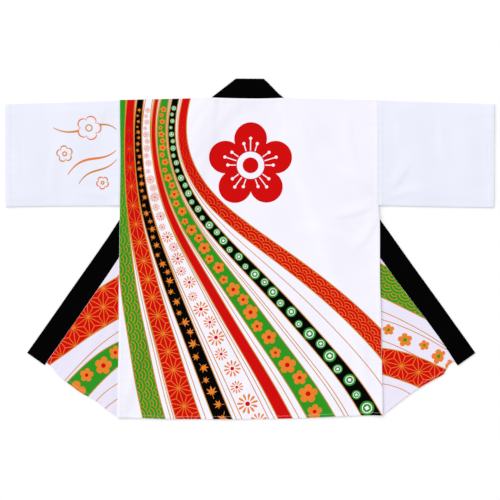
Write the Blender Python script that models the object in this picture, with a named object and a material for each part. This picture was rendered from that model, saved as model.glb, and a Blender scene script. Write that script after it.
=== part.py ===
"""Festival coat of plain cotton, laid out flat with its back up and its fronts turned out to the sides.

Metres, +Z up, +Y towards the neck. The origin is the middle of the footprint, on the surface it lies on.

The cloth lies in layers. Lowest are the black collar band and the turned-out flap of each front. The rest
of each front lies on them, and the back lies on the fronts. Each front is one cloth, folded along a
straight crease that runs from the bottom of its side seam up to the neck. The sleeves are flattened
tubes, open at the cuff and at the armhole.
"""

import math

import bmesh
import bpy
from mathutils import Vector
from mathutils.geometry import delaunay_2d_cdt

# Driving sizes of the coat
HALF_SPAN = 0.650
SHOULDER_Y = 0.400
HEM_Y = -0.4515
BODY_HALF_AT_ARMHOLE = 0.341
BODY_HALF_AT_HEM = 0.349
ARMHOLE_TOP_Y = 0.3975
UNDERARM_Y = 0.1155
CUFF_TOP_Y = 0.385
CUFF_BOTTOM_Y = 0.110
FRONT_WIDTH = 0.2456
FRONT_HEM_LEAN = math.radians(35.5)
FRONT_HEM_BULGE = 0.004
NECK_HALF = 0.095
NECK_DIP = 0.0025
COLLAR_WIDTH = 0.057
COLLAR_THICK = 0.0022
COLLAR_ROUND = 0.0007

# The collar band round the neck, left half: where its free edge and its sewn edge go
NECK_TURN_COLUMNS = ("free_x", "free_y", "sewn_x", "sewn_y")
NECK_TURN = (
    (-0.0985, 0.4035, -0.0620, 0.3660),
    (-0.0370, 0.4515, -0.0280, 0.3900),
    (0.0, 0.4515, 0.0, 0.3920),
)

# Wall of the cloth, and the gap that is left between pieces
CLOTH = 0.0010
GAP = 0.0003

# How the upper layers come down beside what lies under them
RAMP = 0.034
RAMP_STEPS = (0.009, 0.017, 0.025, 0.034)

# Mesh spacing
GRID = 0.040
LINE_STEP = 0.040
LEAST_STEP = 0.008
FOLD_STEPS = 4
CREASE_STOP = 0.012
COLLAR_STATIONS = 9
SLEEVE_STATIONS = 9
SLEEVE_ROWS = 9
SLEEVE_EDGE = 0.030
ON_LINE = 1e-5
INSIDE_LINES = 1

# Long soft creases of the top layer, each with its highest rise
CREASE_COLUMNS = ("from_x", "from_y", "to_x", "to_y", "half_width", "height")
CREASES = (
    (-0.330, 0.140, -0.190, 0.215, 0.060, 0.0022),
    (0.330, 0.150, 0.170, 0.245, 0.065, 0.0024),
    (-0.170, 0.330, -0.150, -0.060, 0.080, 0.0014),
    (0.150, 0.300, 0.215, -0.140, 0.085, 0.0018),
    (0.020, 0.080, 0.045, -0.330, 0.090, 0.0013),
    (-0.090, -0.200, -0.070, -0.440, 0.070, 0.0018),
    (0.255, -0.180, 0.240, -0.440, 0.070, 0.0016),
    (-0.480, 0.350, -0.430, 0.150, 0.065, 0.0024),
    (-0.590, 0.340, -0.575, 0.170, 0.060, 0.0015),
    (0.425, 0.345, 0.470, 0.155, 0.065, 0.0022),
    (0.570, 0.330, 0.595, 0.160, 0.060, 0.0017),
)

WHITE_COTTON = (0.89, 0.88, 0.92, 1.0)
BLACK_COTTON = (0.006, 0.006, 0.007, 1.0)
COTTON_ROUGHNESS = 0.85


def plan(x, y):
    """A point of the plan, seen from above."""
    return Vector((x, y))


def mirrored(point):
    return plan(-point.x, point.y)


# Corners of the left half in plan, where left is -X
HEM_CORNER = plan(-BODY_HALF_AT_HEM, HEM_Y)
HEM_MIDDLE = plan(0.0, HEM_Y)
UNDERARM = plan(-BODY_HALF_AT_ARMHOLE, UNDERARM_Y)
ARMHOLE_TOP = plan(-BODY_HALF_AT_ARMHOLE, ARMHOLE_TOP_Y)
NECK_POINT = plan(-NECK_HALF, SHOULDER_Y)

# The front's hem runs from the side seam's foot: to the right before it is turned out, and up to the left
# after. The crease halves the angle between the two, and it ends where it meets the front's own edge.
TURNED_HEM = plan(-math.cos(FRONT_HEM_LEAN), math.sin(FRONT_HEM_LEAN))
CREASE_WAY = (TURNED_HEM + plan(1, 0)).normalized()
CREASE_OUT = plan(CREASE_WAY.y, -CREASE_WAY.x)
FRONT_CORNER = HEM_CORNER + TURNED_HEM * FRONT_WIDTH
CREASE_LENGTH = FRONT_WIDTH / CREASE_WAY.x
CREASE_MEETS_BAND = HEM_CORNER + CREASE_WAY * CREASE_LENGTH
CREASE_END = HEM_CORNER + CREASE_WAY * (CREASE_LENGTH - CREASE_STOP)


def steps_along(start, end, longest):
    """Even points from start to end, with both ends."""
    count = max(1, math.ceil((end - start).length / longest - 1e-6))
    return [start.lerp(end, i / count) for i in range(count + 1)]


def neckline():
    """The back's neckline, from the left neck point to the middle, dipping a little."""
    points = steps_along(NECK_POINT, plan(0.0, SHOULDER_Y), LINE_STEP)
    return [plan(p.x, p.y - NECK_DIP * math.cos(p.x / NECK_HALF * math.pi / 2)) for p in points]


def turned_hem():
    """The turned-out hem, from the front's corner to the foot of the side seam, bowed a little outwards."""
    outwards = plan(-TURNED_HEM.y, TURNED_HEM.x)
    points = steps_along(FRONT_CORNER, HEM_CORNER, LINE_STEP)
    last = len(points) - 1
    return [p + outwards * (FRONT_HEM_BULGE * math.sin(math.pi * i / last)) for i, p in enumerate(points)]


def band_sections():
    """(free edge, sewn edge) of the collar band in plan, from the left front's hem to the middle of the neck."""
    across = TURNED_HEM * COLLAR_WIDTH
    straight = steps_along(FRONT_CORNER, CREASE_MEETS_BAND, (CREASE_MEETS_BAND - FRONT_CORNER).length / COLLAR_STATIONS)
    sections = [(p + across, p) for p in straight]
    for free_x, free_y, sewn_x, sewn_y in NECK_TURN:
        sections.append((plan(free_x, free_y), plan(sewn_x, sewn_y)))
    return sections


BAND = band_sections()
BAND_OUTLINE = [free for free, _ in BAND] + [sewn for _, sewn in reversed(BAND)]
SEAM_SHIFT = TURNED_HEM * -GAP
FLAP_SEAM = [CREASE_END + (CREASE_MEETS_BAND - CREASE_END).project(TURNED_HEM) + SEAM_SHIFT, FRONT_CORNER + SEAM_SHIFT]
FLAP_OUTLINE = [CREASE_END, *FLAP_SEAM, *turned_hem()[1:]]
FRONT_OUTLINE = [HEM_CORNER, CREASE_END, CREASE_MEETS_BAND, NECK_POINT, ARMHOLE_TOP, UNDERARM]
BACK_OUTLINE = [HEM_CORNER, HEM_MIDDLE, *reversed(neckline()), ARMHOLE_TOP, UNDERARM]


def nearest_on(start, end, point):
    """The point of a straight edge that is nearest to a point."""
    way = end - start
    share = (point - start).dot(way) / way.length_squared
    return start + way * min(1.0, max(0.0, share))


def edges_of(outline):
    return list(zip(outline, outline[1:] + outline[:1]))


def inside(outline, point):
    """Whether a point of the plan is inside an outline."""
    found = False
    for a, b in edges_of(outline):
        if (a.y > point.y) != (b.y > point.y) and point.x < a.x + (b.x - a.x) * (point.y - a.y) / (b.y - a.y):
            found = not found
    return found


def nearest_in(outline, point):
    """The point of a closed region that is nearest to a point, which is the point itself inside the region."""
    best = min((nearest_on(a, b, point) for a, b in edges_of(outline)), key=lambda q: (q - point).length)
    return point if inside(outline, point) or (best - point).length < ON_LINE else best


def fall(distance):
    """1 at a layer's edge, and down to 0 at the ramp's end."""
    share = min(1.0, distance / RAMP)
    return 1 - share * share * (3 - 2 * share)


def under_front(point):
    """Lowest height of a front's cloth: it lies on its own flap and on the collar band."""
    to_flap = (nearest_in(FLAP_OUTLINE, point) - point).length
    to_band = (nearest_in(BAND_OUTLINE, point) - point).length
    return max((CLOTH + GAP) * fall(to_flap), (COLLAR_THICK + GAP) * fall(to_band))


def crease_rise(x, y):
    """How far the soft creases lift the top layer."""
    rise = 0.0
    for from_x, from_y, to_x, to_y, half_width, height in CREASES:
        start, end, point = plan(from_x, from_y), plan(to_x, to_y), plan(x, y)
        nearest = nearest_on(start, end, point)
        along = (nearest - start).length / (end - start).length
        beside = (point - nearest).length / half_width
        if beside < 1:
            taper = 0.35 + 0.65 * math.sin(math.pi * along)
            rise = max(rise, height * taper * 0.5 * (1 + math.cos(math.pi * beside)))
    return rise


def under_back(x, y):
    """Lowest height of the back's cloth: it lies on the fronts, and on the collar band at the neck."""
    point = plan(-abs(x), y)
    carried_by = nearest_in(FRONT_OUTLINE, point)
    on_front = (under_front(carried_by) + CLOTH + GAP) * fall((carried_by - point).length)
    return max(on_front, under_front(point)) + crease_rise(x, y)


def far_from(point, others, least):
    return all((point - other).length >= least for other in others)


def half_plan():
    """(points, triangles) of the left half of the body in plan, which the back and the front both use. Its
    lines follow the outline, the crease and both edges of the collar band, so that each layer's facets
    stay parallel to those under them."""
    band_edges = [[free for free, _ in BAND], [sewn for _, sewn in BAND]]
    crease = [HEM_CORNER, CREASE_END, CREASE_MEETS_BAND, NECK_POINT]
    outline = BACK_OUTLINE + BACK_OUTLINE[:1]
    points, edges = [], []
    for line in [outline, crease, *band_edges]:
        for start, end in zip(line, line[1:]):
            run = steps_along(start, end, LINE_STEP)
            for a, b in zip(run, run[1:]):
                edges.append((len(points), len(points) + 1))
                points += [a, b]
    on_lines = [p for p in points if (nearest_in(BACK_OUTLINE, p) - p).length < ON_LINE]
    free = []
    for line in [crease[:3], band_edges[0][::-1], band_edges[1]]:
        for start, end in zip(line, line[1:]):
            downhill = plan((end - start).y, -(end - start).x).normalized()
            for shift in RAMP_STEPS:
                for p in steps_along(start, end, LINE_STEP):
                    candidate = p + downhill * shift
                    if inside(BACK_OUTLINE, candidate) and far_from(candidate, on_lines + free, LEAST_STEP):
                        free.append(candidate)
    rows = math.ceil((SHOULDER_Y - HEM_Y) / GRID)
    columns = math.ceil(BODY_HALF_AT_HEM / GRID)
    for row in range(rows):
        for column in range(columns):
            stagger = 0.5 * (row % 2)
            candidate = plan(-GRID * (column + 0.5 + stagger), HEM_Y + GRID * (row + 0.5))
            if inside(BACK_OUTLINE, candidate) and far_from(candidate, on_lines + free, 0.6 * GRID):
                free.append(candidate)
    kept, _, triangles, _, _, _ = delaunay_2d_cdt(points + free, edges, [], INSIDE_LINES, ON_LINE)
    return kept, triangles


def rim_of(triangles):
    """Edges of a set of triangles that have one triangle only, each in the triangle's own direction."""
    edges = [(t[i], t[(i + 1) % 3]) for t in triangles for i in range(3)]
    both_ways = set(edges)
    return [(a, b) for a, b in edges if (b, a) not in both_ways]


def material(name, colour):
    made = bpy.data.materials.new(name)
    made.use_nodes = True
    shader = made.node_tree.nodes["Principled BSDF"]
    shader.inputs["Base Color"].default_value = colour
    shader.inputs["Roughness"].default_value = COTTON_ROUGHNESS
    shader.inputs["Metallic"].default_value = 0.0
    return made


def add_object(name, built, cloth):
    """Closes a bmesh into a named object with its faces pointing out."""
    bmesh.ops.triangulate(built, faces=built.faces[:])
    bmesh.ops.recalc_face_normals(built, faces=built.faces[:])
    mesh = bpy.data.meshes.new(name)
    built.to_mesh(mesh)
    built.free()
    mesh.materials.append(cloth)
    mesh.shade_smooth()
    mesh.set_sharp_from_angle(angle=math.radians(40))
    made = bpy.data.objects.new(name, mesh)
    bpy.context.scene.collection.objects.link(made)
    return made


class Wall:
    """A cloth wall built from a plan: each plan point gets a low and a high vertex."""

    def __init__(self):
        self.mesh = bmesh.new()
        self.vertices = {}

    def vertex(self, key, x, y, z):
        if key not in self.vertices:
            self.vertices[key] = self.mesh.verts.new((x, y, z))
        return self.vertices[key]

    def face(self, corners):
        self.mesh.faces.new(corners)

    def sheet(self, layer, points, triangles, low, high, open_edges=()):
        """Both surfaces of a layer, and its rim apart from the open edges."""
        for i in sorted({i for t in triangles for i in t}):
            x, y = points[i]
            self.vertex((layer, i, "low"), x, y, low(x, y))
            self.vertex((layer, i, "high"), x, y, high(x, y))
        at = self.vertices
        for t in triangles:
            self.face([at[layer, i, "high"] for i in t])
            self.face([at[layer, i, "low"] for i in reversed(t)])
        for a, b in rim_of(triangles):
            if frozenset((a, b)) not in open_edges:
                self.face([at[layer, a, "high"], at[layer, a, "low"], at[layer, b, "low"], at[layer, b, "high"]])


def back_panel(half, cloth):
    """The back: one cloth from side seam to side seam, lying on everything else."""
    points, triangles = half
    wall = Wall()
    middle = {i for i, p in enumerate(points) if abs(p.x) < ON_LINE}
    other = {i: i if i in middle else i + len(points) for i in range(len(points))}
    both = list(points) + [mirrored(p) for p in points]
    mirrored_triangles = [[other[i] for i in reversed(t)] for t in triangles]
    wall.sheet(
        "back", both, [list(t) for t in triangles] + mirrored_triangles,
        under_back, lambda x, y: under_back(x, y) + CLOTH,
    )
    return add_object("back", wall.mesh, cloth)


def arc_point(base, low, high, share):
    """A point of the half circle that bulges out of the crease, from the high end to the low end. It is
    cut off level with the hem."""
    radius = (high - low) / 2
    angle = math.pi * share
    out = base + CREASE_OUT * (radius * math.sin(angle))
    return out.x, max(out.y, HEM_Y), low + radius * (1 + math.cos(angle))


def front_panel(name, half, cloth, flip):
    """One front: the part under the back, the fold along the crease, and the flap turned out below it."""
    points, triangles = half
    lain = [list(t) for t in triangles if inside(FRONT_OUTLINE, sum((points[i] for i in t), plan(0, 0)) / 3)]
    on_crease = [
        i for i in {i for t in lain for i in t}
        if (nearest_on(HEM_CORNER, CREASE_END, points[i]) - points[i]).length < ON_LINE
    ]
    on_crease.sort(key=lambda i: (points[i] - HEM_CORNER).length)
    crease_edges = {frozenset(pair) for pair in zip(on_crease, on_crease[1:])}

    wall = Wall()
    wall.sheet(
        "lain", points, lain,
        lambda x, y: under_front(plan(x, y)), lambda x, y: under_front(plan(x, y)) + CLOTH, crease_edges,
    )

    seam = steps_along(*FLAP_SEAM, LINE_STEP)
    ring = [points[i] for i in on_crease] + seam + turned_hem()[1:-1]
    ring_edges = [(i, (i + 1) % len(ring)) for i in range(len(ring))]
    flap_points, _, flap, _, _, _ = delaunay_2d_cdt(ring, ring_edges, [], INSIDE_LINES, ON_LINE)
    flap_at = [min(range(len(flap_points)), key=lambda k: (flap_points[k] - points[i]).length) for i in on_crease]
    flap_edges = {frozenset(pair) for pair in zip(flap_at, flap_at[1:])}
    wall.sheet("flap", flap_points, flap, lambda x, y: 0.0, lambda x, y: CLOTH, flap_edges)

    outer, inner = [], []
    for i, j in zip(on_crease, flap_at):
        base = points[i]
        low, high = under_front(base), under_front(base) + CLOTH
        outer_arc, inner_arc = [wall.vertices["lain", i, "high"]], [wall.vertices["lain", i, "low"]]
        for k in range(1, FOLD_STEPS):
            share = k / FOLD_STEPS
            outer_arc.append(wall.vertex(("outer", i, k), *arc_point(base, 0.0, high, share)))
            inner_arc.append(wall.vertex(("inner", i, k), *arc_point(base, CLOTH, low, share)))
        outer.append([*outer_arc, wall.vertices["flap", j, "low"]])
        inner.append([*inner_arc, wall.vertices["flap", j, "high"]])
    for arcs in (outer, inner):
        for a, b in zip(arcs, arcs[1:]):
            for k in range(FOLD_STEPS):
                wall.face([a[k], a[k + 1], b[k + 1], b[k]])
    for end in (0, -1):
        for k in range(FOLD_STEPS):
            wall.face([outer[end][k], outer[end][k + 1], inner[end][k + 1], inner[end][k]])
    if flip:
        bmesh.ops.scale(wall.mesh, vec=(-1, 1, 1), verts=wall.mesh.verts[:])
    return add_object(name, wall.mesh, cloth)


def ring_of_sections(built, rings):
    """Faces between rings of vertices that each close on themselves."""
    for a, b in zip(rings, rings[1:]):
        for k in range(len(a)):
            nxt = (k + 1) % len(a)
            built.faces.new([a[k], a[nxt], b[nxt], b[k]])


def sleeve_section(x, inset):
    """Points round a sleeve at one distance from the body: along the upper cloth, round the top fold, back
    along the lower cloth and round the underarm seam. Inset 0 is the outside and 1 wall is the inside."""
    share = (abs(x) - BODY_HALF_AT_ARMHOLE) / (HALF_SPAN - BODY_HALF_AT_ARMHOLE)
    low_y = UNDERARM_Y + (CUFF_BOTTOM_Y - UNDERARM_Y) * share
    high_y = ARMHOLE_TOP_Y + (CUFF_TOP_Y - ARMHOLE_TOP_Y) * share
    full = 2 * CLOTH + GAP
    radius = full / 2 - inset
    start, end = low_y + full / 2, high_y - full / 2
    rows = [start + (end - start) * i / SLEEVE_ROWS for i in range(SLEEVE_ROWS + 1)]
    upper = []
    for y in rows:
        from_edge = min(1.0, min(y - start, end - y) / SLEEVE_EDGE)
        upper.append((y, full - inset + crease_rise(x, y) * from_edge))
    fold = [math.pi * k / FOLD_STEPS for k in range(1, FOLD_STEPS)]
    top_fold = [(end + radius * math.sin(a), full / 2 + radius * math.cos(a)) for a in fold]
    lower = [(y, inset) for y in reversed(rows)]
    seam_fold = [(start - radius * math.sin(a), full / 2 - radius * math.cos(a)) for a in fold]
    return upper + top_fold + lower + seam_fold


def sleeve(name, side, cloth):
    """A flattened tube, open at both ends. Side is -1 for the left and 1 for the right."""
    built = bmesh.new()
    first = BODY_HALF_AT_ARMHOLE + GAP
    shells = []
    for inset in (0.0, CLOTH):
        rings = []
        for k in range(SLEEVE_STATIONS + 1):
            x = side * (first + (HALF_SPAN - first) * k / SLEEVE_STATIONS)
            rings.append([built.verts.new((x, y, z)) for y, z in sleeve_section(x, inset)])
        ring_of_sections(built, rings)
        shells.append(rings)
    outside, within = shells
    for end in (0, -1):
        count = len(outside[end])
        for k in range(count):
            nxt = (k + 1) % count
            built.faces.new([outside[end][k], outside[end][nxt], within[end][nxt], within[end][k]])
    return add_object(name, built, cloth)


def band_ring(built, free, sewn):
    """One section of the collar band: a flat bar with folded, rounded edges."""
    width = (free - sewn).length
    profile = [
        (0, COLLAR_ROUND), (0, COLLAR_THICK - COLLAR_ROUND), (COLLAR_ROUND, COLLAR_THICK),
        (width - COLLAR_ROUND, COLLAR_THICK), (width, COLLAR_THICK - COLLAR_ROUND), (width, COLLAR_ROUND),
        (width - COLLAR_ROUND, 0), (COLLAR_ROUND, 0),
    ]
    ring = []
    for across, z in profile:
        at = sewn.lerp(free, across / width)
        ring.append(built.verts.new((at.x, at.y, z)))
    return ring


def collar(cloth):
    """The collar band: one folded strip from hem to hem, round the back of the neck."""
    sections = BAND + [(mirrored(free), mirrored(sewn)) for free, sewn in reversed(BAND[:-1])]
    built = bmesh.new()
    rings = [band_ring(built, free, sewn) for free, sewn in sections]
    ring_of_sections(built, rings)
    built.faces.new(rings[0])
    built.faces.new(list(reversed(rings[-1])))
    return add_object("collar", built, cloth)


def build():
    for old in list(bpy.data.objects):
        bpy.data.objects.remove(old)
    white = material("white_cotton", WHITE_COTTON)
    black = material("black_cotton", BLACK_COTTON)
    half = half_plan()
    back_panel(half, white)
    front_panel("front_left", half, white, flip=False)
    front_panel("front_right", half, white, flip=True)
    sleeve("sleeve_left", -1, white)
    sleeve("sleeve_right", 1, white)
    collar(black)


build()
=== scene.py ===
# %% [markdown]
# # A festival coat laid out flat
#
# The coat lies back up on a pale floor, seen from straight above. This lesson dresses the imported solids:
# each piece of cloth becomes a thin shell with soft creases, hems and print, and the stitches follow.

# %% Load the frame
import math

import bmesh
import bpy
import numpy as np
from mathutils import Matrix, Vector
from mathutils.geometry import delaunay_2d_cdt
from mathutils.kdtree import KDTree


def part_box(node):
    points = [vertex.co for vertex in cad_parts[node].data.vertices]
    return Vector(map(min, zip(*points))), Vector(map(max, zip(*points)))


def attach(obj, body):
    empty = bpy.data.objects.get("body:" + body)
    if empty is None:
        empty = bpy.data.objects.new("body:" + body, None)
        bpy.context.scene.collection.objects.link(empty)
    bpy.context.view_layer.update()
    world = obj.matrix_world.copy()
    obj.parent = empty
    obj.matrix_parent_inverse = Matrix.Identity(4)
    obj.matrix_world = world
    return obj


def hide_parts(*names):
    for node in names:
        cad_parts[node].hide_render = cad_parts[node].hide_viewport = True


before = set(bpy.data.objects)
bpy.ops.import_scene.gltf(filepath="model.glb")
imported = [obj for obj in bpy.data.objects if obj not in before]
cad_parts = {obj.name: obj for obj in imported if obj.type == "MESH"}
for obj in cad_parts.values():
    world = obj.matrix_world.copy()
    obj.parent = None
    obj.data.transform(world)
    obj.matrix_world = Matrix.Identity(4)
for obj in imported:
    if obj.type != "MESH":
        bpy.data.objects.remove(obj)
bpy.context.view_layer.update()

print("solids:", sorted(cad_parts))

# %% [markdown]
# ## The sizes
#
# A coat of this kind is cut from straight strips, so a few lengths fix it all. They could all be read off
# the solids' corners, but the folds and seams between need the same names that a cutter would use. So the
# sizes that a node's box gives are read from the frame, and the rest are written out again, in metres.

# %% Sizes of the cut and of the lay
# The back and the sleeves. Y runs up the coat, and the middle of the back lies at X 0.
HALF_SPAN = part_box("sleeve_right")[1][0]
SHOULDER_Y = 0.400
HEM_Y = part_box("back")[0][1]
BODY_HALF_AT_ARMHOLE = 0.341
BODY_HALF_AT_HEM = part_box("back")[1][0]
ARMHOLE_TOP_Y = 0.3975
UNDERARM_Y = 0.1155
CUFF_TOP_Y = 0.385
CUFF_BOTTOM_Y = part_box("sleeve_right")[0][1]
# A front: its width, and how its turned-out hem leans and bows outwards.
FRONT_WIDTH = 0.2456
FRONT_HEM_LEAN = math.radians(35.5)
FRONT_HEM_BULGE = 0.004
HEM_STEPS = 24
# The neck and the collar band.
NECK_HALF = 0.095
NECK_DIP = 0.0025
COLLAR_WIDTH = 0.057
COLLAR_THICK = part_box("collar")[1][2]
# The band at the neck: x and y of its free edge, then x and y of its sewn edge.
NECK_TURN = (
    (-0.0985, 0.4035, -0.0620, 0.3660),
    (-0.0370, 0.4515, -0.0280, 0.3900),
    (0.0, 0.4515, 0.0, 0.3920),
)
# The cloth's wall, the gap at a seam, the length of the ramp beside a layer, and how far short of the band
# the crease of a front stops.
WALL = 0.0010
GAP = 0.0003
RAMP = 0.034
CREASE_STOP = 0.012
print(f"span {2 * HALF_SPAN:.3f} m, body {2 * BODY_HALF_AT_HEM:.3f} m wide at the hem")

# %% [markdown]
# ## Corners of the lay
#
# Each front is folded outwards along one straight crease. Its hem ran to the right from the foot of the side
# seam and now runs up to the left, so the crease must halve the angle between the two. Working the corner
# out from that rule keeps the flap the size that it was cut to.

# %% Corners and outlines, left half, where left is -X
def plan(x, y):
    """A point or a direction seen from above."""
    return np.array((x, y), dtype=float)


def unit(vector):
    """A vector's direction, with a length of 1."""
    return vector / np.linalg.norm(vector)


HEM_CORNER = plan(-BODY_HALF_AT_HEM, HEM_Y)
UNDERARM = plan(-BODY_HALF_AT_ARMHOLE, UNDERARM_Y)
ARMHOLE_TOP = plan(-BODY_HALF_AT_ARMHOLE, ARMHOLE_TOP_Y)
NECK_POINT = plan(-NECK_HALF, SHOULDER_Y)
TURNED_HEM = plan(-math.cos(FRONT_HEM_LEAN), math.sin(FRONT_HEM_LEAN))
CREASE_WAY = unit(TURNED_HEM + plan(1, 0))
CREASE_OUT = plan(CREASE_WAY[1], -CREASE_WAY[0])
FRONT_CORNER = HEM_CORNER + TURNED_HEM * FRONT_WIDTH
CREASE_LENGTH = FRONT_WIDTH / CREASE_WAY[0]
CREASE_MEETS_BAND = HEM_CORNER + CREASE_WAY * CREASE_LENGTH
CREASE_END = HEM_CORNER + CREASE_WAY * (CREASE_LENGTH - CREASE_STOP)
SEAM_SHIFT = -GAP * TURNED_HEM
SEAM_TOP = CREASE_END + TURNED_HEM * np.dot(CREASE_MEETS_BAND - CREASE_END, TURNED_HEM) + SEAM_SHIFT
SEAM_FOOT = FRONT_CORNER + SEAM_SHIFT


def mirrored(points):
    """The same points on the coat's other half."""
    return np.asarray(points) * (-1, 1)


def neckline(count=24):
    """The neck's edge on the back, which dips a little in the middle."""
    x = np.linspace(-NECK_HALF, NECK_HALF, count + 1)
    return np.column_stack((x, SHOULDER_Y - NECK_DIP * np.cos(x / NECK_HALF * math.pi / 2)))


def turned_hem(count=HEM_STEPS):
    """The flap's hem from the front's corner to the side seam's foot, bowed a little outwards."""
    share = np.linspace(0, 1, count + 1)[:, None]
    outwards = plan(-TURNED_HEM[1], TURNED_HEM[0])
    straight = FRONT_CORNER + (HEM_CORNER - FRONT_CORNER) * share
    return straight + outwards * FRONT_HEM_BULGE * np.sin(math.pi * share)


def band_edges():
    """The collar band's free edge and sewn edge, from the left front's hem to the middle of the neck."""
    turn = np.array(NECK_TURN)
    straight = np.array((FRONT_CORNER, CREASE_MEETS_BAND))
    return np.vstack((straight + TURNED_HEM * COLLAR_WIDTH, turn[:, :2])), np.vstack((straight, turn[:, 2:]))


BAND_FREE, BAND_SEWN = band_edges()
BAND_OUTLINE = np.vstack((BAND_FREE, BAND_SEWN[::-1]))
FLAP_OUTLINE = np.vstack((CREASE_END, SEAM_TOP, SEAM_FOOT, turned_hem()[1:]))
FRONT_OUTLINE = np.array((HEM_CORNER, CREASE_END, CREASE_MEETS_BAND, NECK_POINT, ARMHOLE_TOP, UNDERARM))
BACK_OUTLINE = np.vstack((
    HEM_CORNER, mirrored(HEM_CORNER), mirrored(UNDERARM), mirrored(ARMHOLE_TOP), neckline()[::-1],
    ARMHOLE_TOP, UNDERARM,
))
print(f"crease {CREASE_LENGTH:.3f} m long, front corner at {np.round(FRONT_CORNER, 3)}")

# %% [markdown]
# ## How high each layer lies
#
# The floor carries the collar band and the turned-out flaps, these carry the fronts, and the fronts carry
# the back. A cloth simulation could find these heights, but it would drift sideways off the photograph's
# outline. A distance rule gives them at once: each layer clears what lies under it and comes down
# smoothly beside it.

# %% Distances in plan
def nearest_on(outline, points, closed=True):
    """Nearest point of an outline to each point, with its distance and the index of its edge."""
    start = outline if closed else outline[:-1]
    way = np.roll(outline, -1, axis=0)[: len(start)] - start
    offset = points[:, None, :] - start[None]
    share = np.clip((offset * way).sum(2) / (way ** 2).sum(1), 0, 1)
    nearest = start + share[..., None] * way
    distance = np.linalg.norm(points[:, None, :] - nearest, axis=2)
    edge = distance.argmin(1)
    rows = np.arange(len(points))
    return nearest[rows, edge], distance[rows, edge], edge, share[rows, edge]


def inside(outline, points):
    """Whether each point is inside a closed outline."""
    found = np.zeros(len(points), dtype=bool)
    x, y = points[:, 0], points[:, 1]
    for (ax, ay), (bx, by) in zip(outline, np.roll(outline, -1, axis=0)):
        if ay != by:
            found ^= ((ay > y) != (by > y)) & (x < ax + (bx - ax) * (y - ay) / (by - ay))
    return found


def nearest_in(outline, points):
    """Nearest point of the closed region to each point, and its distance, which is 0 inside."""
    nearest, distance, _, _ = nearest_on(outline, points)
    within = inside(outline, points)
    return np.where(within[:, None], points, nearest), np.where(within, 0.0, distance)


print("hem corner to the band, in mm:", np.round(1000 * nearest_in(BAND_OUTLINE, HEM_CORNER[None])[1], 1))

# %% [markdown]
# ## Ramps beside the layers
#
# Cloth that comes off a layer doesn't drop like a step. It comes down over a few centimetres, and meets the
# lower level with no corner. One smooth curve from 0 to 1 serves here and wherever else something fades.

# %% Heights of the layers
def smooth(share):
    """Rises from 0 to 1 with no corner at either end."""
    share = np.clip(share, 0, 1)
    return share * share * (3 - 2 * share)


def grows(value, start, end):
    """Rises smoothly from 0 where a value is at its start to 1 where it is at its end."""
    return smooth((value - start) / (end - start))


def fall(distance):
    """Falls smoothly from 1 to 0 over a ramp."""
    return 1 - smooth(distance / RAMP)


def under_front(points):
    """Underside of the part of the left front that lies over its own flap and over the band."""
    to_flap = nearest_in(FLAP_OUTLINE, points)[1]
    to_band = nearest_in(BAND_OUTLINE, points)[1]
    return np.maximum((WALL + GAP) * fall(to_flap), (COLLAR_THICK + GAP) * fall(to_band))


def flat_under_back(points):
    """Underside of the back before it creases."""
    left = np.column_stack((-np.abs(points[:, 0]), points[:, 1]))
    carried_by, distance = nearest_in(FRONT_OUTLINE, left)
    on_front = (under_front(carried_by) + WALL + GAP) * fall(distance)
    return np.maximum(on_front, under_front(left))


print("back's underside at the armhole in mm:", np.round(1000 * flat_under_back(np.array([UNDERARM])), 2))

# %% [markdown]
# ## Soft creases
#
# Cotton that was folded for storage keeps long, low ridges, and it pulls a little where seams meet. Each
# ridge here has its own place, bow, width on either flank and height. They are placed one by one, because
# even noise reads as crumpled paper, and a few low waves fill the space between them.

# %% Tables of the creases
# Long ridges, which the solids have too: from x and y, to x and y, half width, height.
SOLID_CREASES = (
    (-0.330, 0.140, -0.190, 0.215, 0.060, 0.0022),
    (0.330, 0.150, 0.170, 0.245, 0.065, 0.0024),
    (-0.170, 0.330, -0.150, -0.060, 0.080, 0.0014),
    (0.150, 0.300, 0.215, -0.140, 0.085, 0.0018),
    (0.020, 0.080, 0.045, -0.330, 0.090, 0.0013),
    (-0.090, -0.200, -0.070, -0.440, 0.070, 0.0018),
    (0.255, -0.180, 0.240, -0.440, 0.070, 0.0016),
    (-0.480, 0.350, -0.430, 0.150, 0.065, 0.0024),
    (-0.590, 0.340, -0.575, 0.170, 0.060, 0.0015),
    (0.425, 0.345, 0.470, 0.155, 0.065, 0.0022),
    (0.570, 0.330, 0.595, 0.160, 0.060, 0.0017),
)
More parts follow.
